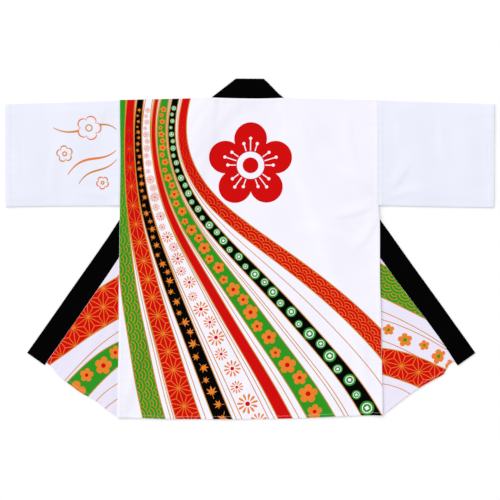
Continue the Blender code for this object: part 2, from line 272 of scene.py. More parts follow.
# Small ridges: from x and y, to x and y, bow, width of the left and of the right flank, height.
FINE_CREASES = (
    (0.338, 0.125, 0.205, 0.085, 0.010, 0.012, 0.030, 0.0022),
    (0.338, 0.135, 0.235, 0.215, -0.012, 0.026, 0.013, 0.0026),
    (0.336, 0.105, 0.262, -0.010, 0.014, 0.014, 0.030, 0.0020),
    (-0.338, 0.125, -0.215, 0.095, -0.010, 0.030, 0.013, 0.0020),
    (-0.338, 0.140, -0.250, 0.225, 0.010, 0.013, 0.028, 0.0024),
    (-0.336, 0.105, -0.282, 0.000, -0.012, 0.028, 0.014, 0.0018),
    (0.090, 0.385, 0.165, 0.250, 0.012, 0.016, 0.034, 0.0018),
    (-0.090, 0.385, -0.150, 0.270, -0.010, 0.034, 0.016, 0.0016),
    (0.262, 0.360, 0.300, 0.190, -0.014, 0.018, 0.036, 0.0018),
    (0.120, 0.060, 0.320, -0.020, 0.016, 0.018, 0.046, 0.0021),
    (0.175, -0.060, 0.330, -0.170, -0.018, 0.044, 0.018, 0.0019),
    (0.110, -0.120, 0.135, -0.300, 0.012, 0.020, 0.044, 0.0018),
    (0.300, -0.230, 0.318, -0.445, -0.008, 0.016, 0.036, 0.0020),
    (0.165, -0.310, 0.150, -0.448, 0.006, 0.016, 0.032, 0.0018),
    (-0.005, -0.350, -0.012, -0.448, 0.004, 0.018, 0.034, 0.0016),
    (-0.190, -0.300, -0.205, -0.448, 0.006, 0.018, 0.040, 0.0020),
    (-0.300, -0.150, -0.322, -0.430, 0.010, 0.034, 0.016, 0.0018),
    (-0.060, 0.060, -0.110, -0.150, 0.014, 0.020, 0.046, 0.0014),
    (-0.010, 0.330, 0.000, 0.160, 0.008, 0.026, 0.046, 0.0010),
    (-0.356, 0.150, -0.430, 0.225, 0.012, 0.014, 0.030, 0.0022),
    (-0.356, 0.130, -0.470, 0.150, -0.006, 0.012, 0.026, 0.0016),
    (-0.520, 0.130, -0.500, 0.300, 0.012, 0.016, 0.036, 0.0016),
    (-0.380, 0.380, -0.405, 0.260, -0.008, 0.014, 0.032, 0.0015),
    (-0.628, 0.320, -0.620, 0.160, 0.006, 0.012, 0.024, 0.0010),
    (0.356, 0.150, 0.420, 0.235, -0.010, 0.030, 0.014, 0.0022),
    (0.356, 0.130, 0.480, 0.155, 0.008, 0.026, 0.012, 0.0018),
    (0.510, 0.360, 0.530, 0.210, -0.012, 0.036, 0.016, 0.0017),
    (0.375, 0.380, 0.395, 0.270, 0.008, 0.032, 0.014, 0.0014),
    (0.626, 0.330, 0.632, 0.180, -0.004, 0.022, 0.012, 0.0010),
    (0.372, -0.400, 0.470, -0.285, 0.010, 0.014, 0.030, 0.0016),
    (0.375, -0.180, 0.450, -0.350, -0.010, 0.028, 0.014, 0.0015),
    (0.520, -0.270, 0.430, -0.215, 0.006, 0.012, 0.026, 0.0013),
    (-0.372, -0.405, -0.455, -0.320, -0.008, 0.026, 0.013, 0.0016),
    (-0.380, -0.170, -0.470, -0.330, 0.010, 0.014, 0.030, 0.0015),
    (-0.375, -0.290, -0.440, -0.260, 0.004, 0.012, 0.022, 0.0012),
)
# The share of a small ridge's height that is left once the coat is pressed.
PRESSED = 0.65
# Waves: length, heading in degrees, shift, height.
WAVES = (
    (0.310, 62, 0.4, 0.00050),
    (0.190, -28, 1.9, 0.00035),
    (0.127, 14, 3.1, 0.00022),
    (0.083, -71, 0.9, 0.00012),
)
print("long ridges, small ridges and waves:", len(SOLID_CREASES), len(FINE_CREASES), len(WAVES))

# %% [markdown]
# ## The height of a crease
#
# Across a crease the cloth follows half a cosine wave, which is flat at the top and at the foot, so it
# joins the flat cloth with no line. Along it the height swells and dies away. Displacing the mesh by such
# formulas costs nothing, and the same point always gets the same height, on every layer that passes it.

# %% Height field of the creases
RIDGE_AT_ENDS = 0.35
TAPER_POWER = 0.8


def half_wave(distance):
    """1 on a crease's line, and 0 from one width away."""
    return 0.5 * (1 + np.cos(math.pi * np.clip(distance, 0, 1)))


def solid_crease_rise(points):
    """The same long ridges that the solids have."""
    rise = np.zeros(len(points))
    for from_x, from_y, to_x, to_y, half_width, height in SOLID_CREASES:
        line = np.array(((from_x, from_y), (to_x, to_y)))
        _, distance, _, share = nearest_on(line, points, closed=False)
        swell = RIDGE_AT_ENDS + (1 - RIDGE_AT_ENDS) * np.sin(math.pi * share)
        rise = np.maximum(rise, height * swell * half_wave(distance / half_width))
    return rise


def fine_crease_rise(points):
    """Smaller ridges, each bowed and steeper on one flank, which die away at both ends."""
    rise = np.zeros(len(points))
    for from_x, from_y, to_x, to_y, bow, left_width, right_width, height in FINE_CREASES:
        start = plan(from_x, from_y)
        way = plan(to_x, to_y) - start
        length = np.linalg.norm(way)
        along = (points - start) @ (way / length) / length
        left = (points - start) @ plan(-way[1], way[0]) / length - bow * 4 * along * (1 - along)
        beside = np.where(left > 0, left / left_width, -left / right_width)
        taper = np.sin(math.pi * np.clip(along, 0, 1)) ** TAPER_POWER
        rise += PRESSED * height * taper * half_wave(beside)
    return rise


def wave_rise(points):
    """Low waves, never below zero, so that no layer sinks into the one under it."""
    rise = np.zeros(len(points))
    for length, heading, shift, height in WAVES:
        way = plan(math.cos(math.radians(heading)), math.sin(math.radians(heading)))
        rise += height * (1 + np.sin(2 * math.pi * (points @ way) / length + shift))
    return rise


def soft_rise(points):
    """All creases and waves together."""
    return solid_crease_rise(points) + fine_crease_rise(points) + wave_rise(points)


print("rise at the middle of the back, in mm:", np.round(1000 * soft_rise(np.zeros((1, 2))), 2))

# %% [markdown]
# ## Small shifts of a coat laid out by hand
#
# No edge of a real coat lies quite straight. In the photograph the body lies a little left between the
# cuffs, the right band bows outwards, the body's right corner is pulled up, and the band to the right of
# the neck is pulled inwards. One smooth shift in plan moves every layer alike, so the layers still fit on
# each other. Moving each edge by itself would have pulled them apart.

# %% The shift in plan
# Slow waves of every edge: length, heading in degrees, phase, shift sideways and upwards.
WAVE_SHIFTS = (
    (0.62, 20, 0.6, 0.0006, 0.0009),
    (0.41, 118, 2.2, 0.0006, 0.0005),
    (0.23, 75, 4.0, 0.0004, 0.0004),
)
# Shift sideways: x, shift below the arms, shift of the shoulders and sleeves.
SIDEWAYS = np.array((
    (-0.650, 0.0035, -0.0013),
    (-0.550, 0.0022, -0.0020),
    (-0.410, -0.0001, -0.0035),
    (-0.375, -0.0012, -0.0038),
    (-0.345, -0.0040, -0.0040),
    (0.345, 0.0021, 0.0000),
    (0.400, 0.0036, -0.0004),
    (0.460, 0.0053, -0.0010),
    (0.500, 0.0046, -0.0014),
    (0.540, 0.0027, -0.0018),
    (0.650, 0.0026, -0.0025),
))
SLEEVES_BETWEEN = (0.072, 0.112)
# Hem corners pulled up: lift, x where it begins and where it is full, x where it fades and where it ends.
CORNER_LIFTS = (
    (0.0085, 0.06, 0.35, 0.45, 0.57),
    (0.0030, -0.20, -0.34, -0.36, -0.48),
)
LIFTED_BETWEEN = (-0.17, -0.44)
NECK_PULL_AT = plan(0.0985, 0.4035)
NECK_PULL_REACH = 0.085
NECK_PULL = -0.0115


def laid(points):
    """Where points of the straight coat lie once it is laid out. Heights stay as they are."""
    moved = np.array(points, dtype=float)
    plane = np.array(moved[:, :2])
    for length, heading, phase, sideways, upwards in WAVE_SHIFTS:
        way = plan(math.cos(math.radians(heading)), math.sin(math.radians(heading)))
        swing = np.sin(2 * math.pi * (plane @ way) / length + phase)
        moved[:, 0] += sideways * swing
        moved[:, 1] += upwards * swing
    x, y = plane[:, 0], plane[:, 1]
    below, above = (np.interp(x, SIDEWAYS[:, 0], SIDEWAYS[:, column]) for column in (1, 2))
    moved[:, 0] += below + (above - below) * grows(y, *SLEEVES_BETWEEN)
    for lift, begins, full, fades, ends in CORNER_LIFTS:
        here = grows(x, begins, full) * (1 - grows(x, fades, ends))
        moved[:, 1] += lift * grows(y, *LIFTED_BETWEEN) * here
    from_neck = np.clip(np.linalg.norm(plane - NECK_PULL_AT, axis=1) / NECK_PULL_REACH, 0, 1)
    moved[:, 0] += NECK_PULL * np.cos(math.pi / 2 * from_neck) ** 2
    return moved


corners_laid = laid(np.array((HEM_CORNER, mirrored(HEM_CORNER))))
print("hem corners lie at", np.round(corners_laid, 4).tolist())

# %% [markdown]
# ## Hems and seam allowances
#
# A hem is the cloth turned in and stitched down, so it is one cloth thicker, and its stitches pull a fine
# groove. A bump map would do from above, but the step also shows on the edge, so it is in the mesh.

# %% Thickness that a turned edge adds
# Depths of the hems, and of what is turned in at the side seams.
BODY_HEM = 0.0075
CUFF_HEM = 0.0146
SIDE_ALLOWANCE = 0.0100
# The second cloth, as it shows once it is pressed, and how it ends just past the stitches.
HEM_STEP = 0.00045
STEP_BEYOND_SEAM = 0.0010
STEP_SLOPE = 0.0005
EXP_LIMIT = 50
# The groove that the stitches pull, and the soft round of the edge itself.
GROOVE_DEPTH = 0.00020
GROOVE_HALF = 0.0016
EDGE_ROUND = 0.0022
EDGE_DROP = 0.00035
# Puckers along the stitches. Their pitch drifts, because even ones would look like teeth.
PUCKER_PITCH = 0.021
PUCKER_DRIFT = 1.7
PUCKER_DRIFT_LENGTH = 0.047
PUCKER_REACH = 0.018
PUCKER_HEIGHT = 0.00035
# Distances from the stitches at which the mesh needs a row of points.
ROWS_ABOUT_SEAM = (-0.003, -0.0015, 0, 0.0010, 0.0025, 0.006)


def edge_drop(distance):
    """How far a soft edge is rounded off, from the distance to it."""
    return EDGE_DROP * np.clip(1 - distance / EDGE_ROUND, 0, 1) ** 2


def turned_edge(distance, depth, along):
    """Height that a hem adds, from the distance to its edge and the distance along it."""
    past_step = (distance - depth - STEP_BEYOND_SEAM) / STEP_SLOPE
    doubled = HEM_STEP / (1 + np.exp(np.clip(past_step, -EXP_LIMIT, EXP_LIMIT)))
    groove = GROOVE_DEPTH * np.exp(-((distance - depth) / GROOVE_HALF) ** 2)
    near = np.exp(-((distance - depth) / PUCKER_REACH) ** 2)
    drift = PUCKER_DRIFT * np.sin(along / PUCKER_DRIFT_LENGTH)
    uneven = np.sin(2 * math.pi * along / PUCKER_PITCH + drift)
    return doubled - groove - edge_drop(distance) + PUCKER_HEIGHT * near * (0.5 + 0.5 * uneven)


def line_depths(depth):
    """Distances from an edge at which the mesh needs a row of points to hold its hem."""
    return (EDGE_ROUND, *[depth + beside for beside in ROWS_ABOUT_SEAM])


print("a hem adds", 1000 * HEM_STEP, "mm")

# %% [markdown]
# ## Colours and nodes
#
# Dyers and printers give colours as they look, which is sRGB, but shaders count light, which is linear. One
# function turns one into the other. Nodes could be placed by hand in the editor, but a script can be run
# again, so one small function adds a node with its settings and links.

# %% Colour and node helpers
def linear(hex_colour):
    """An sRGB hex colour as linear RGBA."""
    parts = [int(hex_colour[i:i + 2], 16) / 255 for i in (1, 3, 5)]
    return (*[c / 12.92 if c <= 0.04045 else ((c + 0.055) / 1.055) ** 2.4 for c in parts], 1.0)


def add_node(tree, kind, settings=None, inputs=None):
    """Adds a node, sets its properties, and sets or links its inputs by name or index."""
    node = tree.nodes.new(kind)
    for name, value in (settings or {}).items():
        setattr(node, name, value)
    for name, value in (inputs or {}).items():
        if isinstance(value, bpy.types.NodeSocket):
            tree.links.new(value, node.inputs[name])
        elif isinstance(value, Signal):
            tree.links.new(value.socket, node.inputs[name])
        else:
            node.inputs[name].default_value = value
    return node


class Signal:
    """A number on its way through a node tree. Arithmetic on it adds Math nodes, so that a pattern's
    formula reads as it would on paper."""

    def __init__(self, tree, socket):
        self.tree = tree
        self.socket = socket

    def math(self, operation, *others):
        """This number and others through one Math node."""
        inputs = {i: value for i, value in enumerate((self, *others))}
        node = add_node(self.tree, "ShaderNodeMath", {"operation": operation}, inputs)
        return Signal(self.tree, node.outputs[0])

    def __add__(self, other):
        return self.math("ADD", other)

    def __sub__(self, other):
        return self.math("SUBTRACT", other)

    def __mul__(self, other):
        return self.math("MULTIPLY", other)

    def __truediv__(self, other):
        return self.math("DIVIDE", other)

    def __lt__(self, other):
        return self.math("LESS_THAN", other)

    def __gt__(self, other):
        return self.math("GREATER_THAN", other)

    def __abs__(self):
        return self.math("ABSOLUTE")


print("a middle grey in linear light:", round(linear("#808080")[0], 3))

# %% [markdown]
# ## Plain-woven cotton, bare or printed
#
# The coat is cotton sheeting, dull and evenly woven, and its print is pigment ink that soaks in and keeps
# the weave. So one function makes every cloth, and an ink changes only its colour. Thicker stretches of
# thread, called slubs, and a faint mottle from the dyer's bath keep any area from looking painted.

# %% Cotton
# Real threads are about 0.5 mm apart, finer than a pixel of the render, so they are drawn coarser.
THREAD_PITCH = 0.0016
THREAD_RELIEF = 0.00008
WEAVE_STRENGTH = 0.35
SLUB_LENGTH = 0.045
SLUB_WIDTH = 0.0035
SLUB_RELIEF = 1.5
MOTTLE_SIZE = 0.060
COTTON_IOR = 1.46


def cotton(name, ground, figure=None, pattern=None, roughness=0.88, mottle=0.05, shine=0.10):
    """Plain-woven cotton. Ground and figure are colours, and pattern gives where the figure shows."""
    made = bpy.data.materials.new(name)
    made.use_nodes = True
    tree = made.node_tree
    shader = tree.nodes["Principled BSDF"]
    place = add_node(tree, "ShaderNodeTexCoord").outputs["Object"]
    stretched = add_node(
        tree, "ShaderNodeMapping", None, {"Vector": place, "Scale": (1 / SLUB_WIDTH, 1 / SLUB_LENGTH, 1)}
    )
    slub = add_node(
        tree, "ShaderNodeTexNoise", None, {"Vector": stretched.outputs[0], "Scale": 1.0, "Detail": 2.0}
    )
    cloud = add_node(
        tree, "ShaderNodeTexNoise", None, {"Vector": place, "Scale": 1 / MOTTLE_SIZE, "Detail": 3.0}
    )
    unevenness = (Signal(tree, slub.outputs["Fac"]) + Signal(tree, cloud.outputs["Fac"]) - 1.0) * mottle + 1.0
    colour = linear(ground)[:3]
    if pattern is not None:
        printed = add_node(tree, "ShaderNodeUVMap", {"uv_map": "print"}).outputs[0]
        parts = add_node(tree, "ShaderNodeSeparateXYZ", None, {0: printed})
        along, across = (Signal(tree, parts.outputs[i]) for i in (0, 1))
        mixed = add_node(
            tree, "ShaderNodeMix", {"data_type": "RGBA"},
            {0: pattern(along, across), 6: linear(ground), 7: linear(figure)},
        )
        colour = mixed.outputs[2]
    shaded = add_node(
        tree, "ShaderNodeVectorMath", {"operation": "SCALE"}, {0: colour, "Scale": unevenness}
    ).outputs[0]
    tree.links.new(shaded, shader.inputs["Base Color"])
    spot = add_node(tree, "ShaderNodeSeparateXYZ", None, {0: place})
    warp, weft = (Signal(tree, spot.outputs[i]) * (2 * math.pi / THREAD_PITCH) for i in (0, 1))
    weave = warp.math("SINE") * weft.math("SINE") + Signal(tree, slub.outputs["Fac"]) * SLUB_RELIEF
    bump = add_node(
        tree, "ShaderNodeBump", None, {"Height": weave, "Strength": WEAVE_STRENGTH, "Distance": THREAD_RELIEF}
    )
    tree.links.new(bump.outputs[0], shader.inputs["Normal"])
    shader.inputs["Roughness"].default_value = roughness
    shader.inputs["IOR"].default_value = COTTON_IOR
    shader.inputs["Specular IOR Level"].default_value = shine
    return made


print("threads are drawn", 1000 * THREAD_PITCH, "mm apart")

# %% [markdown]
# ## Traditional small repeats
#
# Two old textile repeats fill some of the printed lanes: waves and hemp leaves. They are lines at a fixed
# spacing, so each is a formula on the lane's own map, in metres along and across the lane. Drawing them as
# faces would cost tens of thousands of triangles and gain nothing.

# %% Formulas of the repeats
# Where along a lane, in metres, a repeat's lines begin, and where they reach their full width.
PATTERN_BEGINS = 0.08
PATTERN_IS_FULL = 0.50


def thickness(along):
    """Share of the lines' full width: a repeat starts fine and grows bolder along its lane."""
    share = (along - PATTERN_BEGINS) / (PATTERN_IS_FULL - PATTERN_BEGINS)
    return share.math("MAXIMUM", 0.0).math("MINIMUM", 1.0)


RINGS = 3


def wave_scales(radius, line):
    """Overlapping fans of three rings each, as on waves cloth. Each row covers the foot of the one above."""
    def mask(along, across):
        a, b = along / radius, across / radius
        lowest = (b * 2.0).math("FLOOR") - 1.0
        distances = []
        for step in range(3):
            row = lowest + float(step)
            shift = row.math("FLOORED_MODULO", 2.0)
            beside = (a - shift).math("WRAP", 1.0, -1.0)
            above = b - row * 0.5
            distances.append((beside * beside + above * above).math("SQRT"))
        first, second = distances[0] < 1.0, distances[1] < 1.0
        behind = distances[2] + (distances[1] - distances[2]) * second
        nearest = behind + (distances[0] - behind) * first
        from_ring = abs((nearest * float(RINGS) + 0.5).math("FRACT") - 0.5)
        return from_ring < thickness(along) * (0.5 * RINGS * line / radius)
    return mask


def hemp_leaf(side, line):
    """Triangles, each split by three lines from its middle, as on hemp-leaf cloth."""
    height = side * math.sqrt(3) / 2

    def mask(along, across):
        first = across / height
        second = (along * (math.sqrt(3) / 2) - across * 0.5) / height
        third = first * -1.0 - second
        shares = [value.math("FRACT") for value in (first, second, third)]
        turned = (shares[0] + shares[1] + shares[2]) > 1.5
        shares = [abs(turned - share) for share in shares]
        low = shares[0].math("MINIMUM", shares[1]).math("MINIMUM", shares[2])
        high = shares[0].math("MAXIMUM", shares[1]).math("MAXIMUM", shares[2])
        middle = low * -1.0 - high + 1.0
        half_line = thickness(along) * (0.5 * line / height)
        on_side = low < half_line
        on_spoke = (middle - low) < half_line * math.sqrt(3)
        return on_side.math("MAXIMUM", on_spoke)
    return mask


print("repeats grow to full width", 1000 * PATTERN_IS_FULL, "mm along a lane")

# %% [markdown]
# ## The cloths and inks of this coat
#
# White sheeting with a cool cast, black sheeting for the band, and opaque inks. The white is painted a
# little darker as shade on the sleeves, where the weave runs the other way, and on the turned-out fronts.
# The print's colours are the strong red, leaf green, black, orange and dull gold that such coats are sold in.

# %% Cloths and inks
WHITE = "#F3F1FB"
RED = "#CE0505"
GREEN = "#2C9420"
BLACK = "#040405"
ORANGE = "#E8802A"
GOLD = "#D08A34"

INKS = {
    # Bleached cotton sheeting: clean, matt and a little blue, so that it stays white beside the inks.
    "white cotton": cotton("white_cotton_sheeting", WHITE, mottle=0.02),
    # Pigment prints, squeezed through a screen: strong flat colour, in which the threads still show.
    "red": cotton("red_pigment_print", RED),
    "green": cotton("green_pigment_print", GREEN),
    # The black print is dense and dull, and only its unevenness keeps it from looking like a hole.
    "black": cotton("black_pigment_print", BLACK, mottle=0.2, shine=0.03),
    # Orange is thinner, for the motifs, and lies on the other inks.
    "orange": cotton("orange_pigment_print", ORANGE),
    # The dull gold of the borders is an ochre ink. It has no metal in it, so it doesn't glint.
    "gold": cotton("gold_pigment_print", GOLD),
    # Two-colour prints: orange lines on red or green, which read as texture from afar and lines from near.
    "red leaf": cotton("red_print_hemp_leaf", RED, ORANGE, hemp_leaf(side=0.050, line=0.0016)),
    "green waves": cotton("green_print_waves", GREEN, ORANGE, wave_scales(radius=0.0260, line=0.0016)),
    "red waves": cotton("red_print_waves", RED, ORANGE, wave_scales(radius=0.0240, line=0.0015)),
}
INK_NUMBER = {name: number for number, name in enumerate(INKS)}
# Cotton dyed black before it was cut: deeper than the print, and so dull that the band is one dark shape.
BLACK_COTTON = cotton("black_cotton_sheeting", BLACK, mottle=0.25, roughness=0.92, shine=0.012)
print("cloths and inks:", len(INKS) + 1)

# %% [markdown]
# ## Print shapes
#
# A shape is a closed outline with an ink, and later shapes cover earlier ones, as in screen printing. Most
# of this print is strips along smooth curves. A Bezier curve with four control points is the simplest that
# can swing one way and then the other.

# %% Shapes and strips
def bezier(controls, share):
    """Points of a curve with four control points, at shares from 0 at its start to 1 at its end."""
    t = np.asarray(share)[:, None]
    a, b, c, d = (np.asarray(point, dtype=float) for point in controls)
    return (1 - t) ** 3 * a + 3 * t * (1 - t) ** 2 * b + 3 * t * t * (1 - t) * c + t ** 3 * d


def side_normals(line):
    """Unit vectors to the left of a line at each of its points."""
    way = np.gradient(line, axis=0)
    return np.column_stack((-way[:, 1], way[:, 0])) / np.linalg.norm(way, axis=1)[:, None]


def shape(outline, ink, centre=None, ran_before=0.0):
    """One printed shape. A lane also keeps its middle line, and how far it has run before the line starts."""
    return {
        "outline": np.asarray(outline, dtype=float), "ink": INK_NUMBER[ink], "centre": centre,
        "ran_before": ran_before,
    }


def strip(line, half_width):
    """A closed strip on both sides of a line."""
    normals = side_normals(line)
    half = np.broadcast_to(half_width, len(line))[:, None]
    return np.vstack((line + normals * half, (line - normals * half)[::-1]))


WIDTH_AT_TIPS = 0.35
STROKE_STEPS = 40


def stroke(controls, ink, width):
    """A thin line that swells in the middle, as from a brush."""
    share = np.linspace(0, 1, STROKE_STEPS + 1)
    swell = WIDTH_AT_TIPS + (1 - WIDTH_AT_TIPS) * np.sin(math.pi * share)
    return shape(strip(bezier(controls, share), width / 2 * swell), ink)


sample = stroke(((0, 0), (0.1, 0), (0.2, 0), (0.3, 0)), "gold", 0.006)
print("a stroke's outline has", len(sample["outline"]), "points")

# %% [markdown]
# ## Flowers, leaves and coins
#
# Plum blossoms, daisies, leaves and old coins with a square hole are common small motifs on festive cloth.
# Each is drawn here from its own rule: a flower's radius swells once for every petal, and a leaf is a ring
# of pointed lobes. Few points are enough for what is a few centimetres across.

# %% Flowers, leaves and coins
PETAL_ROUNDNESS = 0.6


def petals(centre, radius, count=5, turn=0.0, depth=0.30, points=50):
    """A flower's outline of round petals: the radius dips between them."""
    angle = np.linspace(0, 2 * math.pi, points, endpoint=False)
    reach = radius * (1 - depth + depth * np.abs(np.cos(count * angle / 2)) ** PETAL_ROUNDNESS)
    return centre + np.column_stack((np.sin(angle + turn), np.cos(angle + turn))) * reach[:, None]


def disc(centre, radius, points=16):
    """A round outline."""
    return petals(np.asarray(centre), radius, depth=0.0, points=points)


def heading_out(angle):
    """A unit vector at an angle clockwise from the neck's direction."""
    return plan(math.sin(angle), math.cos(angle))


def turn_by(angle):
    """A matrix that turns rows of points clockwise by an angle, when they are multiplied by it."""
    return np.array(((math.cos(angle), math.sin(angle)), (-math.sin(angle), math.cos(angle))))


PLUM_DENT = 0.34
PLUM_HEART = 0.27


def plum(centre, radius, ink, heart, turn):
    """Five round petals and a heart."""
    return [
        shape(petals(centre, radius, turn=turn, depth=PLUM_DENT, points=30), ink),
        shape(disc(centre, radius * PLUM_HEART, points=10), heart),
    ]


# One petal as shares of the flower's radius, as wide as fits ten to a flower.
DAISY_PETAL = (
    (0.034, 0.34), (0.115, 0.66), (0.125, 0.86), (0.06, 1.0),
    (-0.06, 1.0), (-0.125, 0.86), (-0.115, 0.66), (-0.034, 0.34),
)
DAISY_PETALS = 11
DAISY_HEART = 0.24


def daisy(centre, radius, ink, heart, turn):
    """Narrow petals, rounded at the end and each clear of the next, round a heart."""
    petal = np.array(DAISY_PETAL) * (10 / DAISY_PETALS, 1)
    ways = [turn_by(turn + 2 * math.pi * k / DAISY_PETALS) for k in range(DAISY_PETALS)]
    made = [shape(centre + petal @ way * radius, ink) for way in ways]
    return [*made, shape(disc(centre, radius * DAISY_HEART, points=10), heart)]


# Lobes of a leaf: heading in degrees, length, half width.
LOBES = (
    (-140, 0.50, 0.09), (-92, 0.80, 0.13), (-46, 0.94, 0.15), (0, 1.0, 0.16),
    (46, 0.94, 0.15), (92, 0.80, 0.13), (140, 0.50, 0.09),
)
LOBE_WIDEST_AT = 0.45
LEAF_NOTCH = 0.24
LEAF_STALK = ((0.04, -0.20), (0.13, -0.92), (0.06, -0.95), (-0.04, -0.20))


def leaf(centre, radius, ink, _, turn):
    """A leaf of seven pointed lobes, widest at the middle, on a bent stalk. It needs no second ink."""
    outline = []
    for number, (heading, length, half_width) in enumerate(LOBES):
        out = heading_out(math.radians(heading))
        beside = plan(-out[1], out[0]) * half_width
        widest = out * LOBE_WIDEST_AT * length
        outline += [widest + beside, out * length, widest - beside]
        if number + 1 < len(LOBES):
            between = math.radians((heading + LOBES[number + 1][0]) / 2)
            outline.append(heading_out(between) * LEAF_NOTCH)
    outline = np.vstack((outline, LEAF_STALK))
    return [shape(centre + outline @ turn_by(turn) * radius, ink)]


COIN_RIM = (0.72, 0.58)
COIN_HOLE = 0.34


def coin(centre, radius, ink, heart, turn):
    """A disc with a thin ring, and a lozenge for the hole."""
    ring_outside, ring_inside = COIN_RIM
    lozenge = petals(centre, radius * COIN_HOLE, count=4, depth=0.0, turn=turn, points=4)
    return [
        shape(disc(centre, radius, points=20), ink),
        shape(disc(centre, radius * ring_outside, points=16), heart),
        shape(disc(centre, radius * ring_inside, points=16), ink),
        shape(lozenge, heart),
    ]


print("shapes in a daisy:", len(daisy(plan(0, 0), 0.02, "orange", "red", 0.0)))

# %% [markdown]
# ## Lanes
#
# A lane is a strip along a curve, which grows wider as it goes. Its gold border is the same strip a little
# wider, printed first, and its motifs are printed last. The motifs differ in size and lie to either side
# of the middle, by two short lists that are worked through in turn. Even rows of equal motifs look like tape.

# %% Lanes and the motifs along them
BORDER = 0.0024
LANE_STEPS = 64
# A lane is drawn to this share of its curve, past the end, so that the edge of the cloth trims it.
LANE_REACH = 1.16
LANE_WIDENING = 1.2
# Sizes of the motifs, and how far each lies aside as a share of the half width.
MOTIF_SIZES = (1.0, 0.74, 0.90, 0.66, 1.0, 0.80)
MOTIF_SIDES = (0.06, -0.24, 0.10, -0.28, -0.04, 0.22)
MOTIF_TURN = 1.3
MOTIFS_BEGIN = 0.04


def distance_run(line):
    """How far a line has run at each of its points."""
    return np.concatenate(([0], np.cumsum(np.linalg.norm(np.diff(line, axis=0), axis=1))))


def motifs_along(line, half_width, spacing, share, motif, ink, heart):
    """Motifs along a lane, strewn about its middle and growing with it. Share is their size in the lane."""
    ran = distance_run(line)
    normals = side_normals(line)
    made = []
    at = ran[-1] * MOTIFS_BEGIN
    number = 0
    while at < ran[-1]:
        spot = np.array([np.interp(at, ran, line[:, axis]) for axis in (0, 1)])
        aside = np.array([np.interp(at, ran, normals[:, axis]) for axis in (0, 1)])
        half = float(np.interp(at, ran, half_width))
        size = share * half * MOTIF_SIZES[number % len(MOTIF_SIZES)]
        centre = spot + aside * half * MOTIF_SIDES[number % len(MOTIF_SIDES)]
        made += motif(centre, size, ink, heart, MOTIF_TURN * number)
        at += spacing * half
        number += 1
    return made


def lane(controls, ink, width_at_start, width_at_end, motif=None, border=BORDER, ran_before=0.0):
    """A lane of the stream: a bordered strip, which keeps its middle line for the repeats and motifs."""
    share = np.linspace(0, LANE_REACH, LANE_STEPS + 1)
    line = bezier(controls, share)
    width = width_at_start + (width_at_end - width_at_start) * share ** LANE_WIDENING
    shapes = []
    if border:
        shapes.append(shape(strip(line, width / 2), "gold"))
        width = width - 2 * border
    shapes.append(shape(strip(line, width / 2), ink, line, ran_before))
    if motif:
        shapes += motifs_along(line, width / 2, *motif)
    return shapes


print("a lane is drawn in", LANE_STEPS, "steps")


# %% [markdown]
# ## Trimming the print
#
# A printer prints past the edge of the panel, and the edge trims the print. Here each shape is trimmed to
# the panel's outline before the cloth is cut, edge by edge of the panel. A boolean modifier could do it too,
# but flat outlines need only this short rule. Long sides are then given points at even steps.

# %% Trimming and spacing of outlines
def clipped(polygon, frame_outline):
    """The part of a polygon inside a convex outline that runs anticlockwise."""
    kept = polygon
    for start, end in zip(frame_outline, np.roll(frame_outline, -1, axis=0)):
        if len(kept) == 0:
            break
        normal = plan(start[1] - end[1], end[0] - start[0])
        depth = (kept - start) @ normal
        result = []
        for i in range(len(kept)):
            j = (i + 1) % len(kept)
            if depth[i] >= 0:
                result.append(kept[i])
            if (depth[i] >= 0) != (depth[j] >= 0):
                result.append(kept[i] + (kept[j] - kept[i]) * depth[i] / (depth[i] - depth[j]))
        kept = np.array(result)
    return kept


LEAST_CORNER = 0.5


def drawn_in(outline, distance):
    """A convex anticlockwise outline, moved inwards."""
    moved = []
    count = len(outline)
    for i in range(count):
        before = unit(outline[i] - outline[i - 1])
        after = unit(outline[(i + 1) % count] - outline[i])
        inwards = plan(-before[1], before[0]) + plan(-after[1], after[0])
        sharpness = max(LEAST_CORNER, np.linalg.norm(inwards) / 2)
        moved.append(outline[i] + unit(inwards) * distance / sharpness)
    return np.array(moved)


ALMOST_NOTHING = 1e-6


def stepped(outline, step, closed=True):
    """An outline with points no further apart than a step."""
    points = []
    ends = np.roll(outline, -1, axis=0) if closed else outline[1:]
    for start, end in zip(outline, ends):
        count = max(1, math.ceil(np.linalg.norm(end - start) / step - ALMOST_NOTHING))
        points += [start + (end - start) * i / count for i in range(count)]
    if not closed:
        points.append(outline[-1])
    return np.array(points)


print("points at 20 mm steps round the back:", len(stepped(BACK_OUTLINE, 0.020)))

# %% [markdown]
# ## Cutting cloth along the print
#
# A print could be a picture on the cloth, but no picture is used here. Instead the cloth's own faces are
# cut along every outline of the print, together with an even field of points for the drape. A constrained
# Delaunay triangulation keeps every given edge and fills the rest with well-shaped triangles.

# %% Cutting
# The kind of result in which the triangulation keeps only what lies inside the given edges.
INSIDE_LINES = 1
# How far shapes keep from the cloth's edge, and rows of points from that edge and from all other lines.
CLEAR_OF_EDGE = 0.0004
ROW_CLEAR_OF_RING = 0.0018
ROW_CLEAR_OF_LINES = 0.0009
# How far the field keeps from the ring and from other points, as shares of its pitch.
FIELD_CLEAR_OF_RING = 0.55
FIELD_CLEAR_OF_LINES = 0.4


def field(outline, pitch):
    """Points in staggered rows over an outline's box."""
    low, high = outline.min(0), outline.max(0)
    rows = np.arange(low[1], high[1], pitch * math.sqrt(3) / 2)
    points = []
    for number, y in enumerate(rows):
        x = np.arange(low[0] + pitch * (0.25 + 0.5 * (number % 2)), high[0], pitch)
        points.append(np.column_stack((x, np.full(len(x), y))))
    return np.vstack(points)


def lookup(points):
    """A tree that finds the nearest of some points in plan."""
    tree = KDTree(len(points))
    for i, (x, y) in enumerate(points):
        tree.insert((x, y, 0), i)
    tree.balance()
    return tree


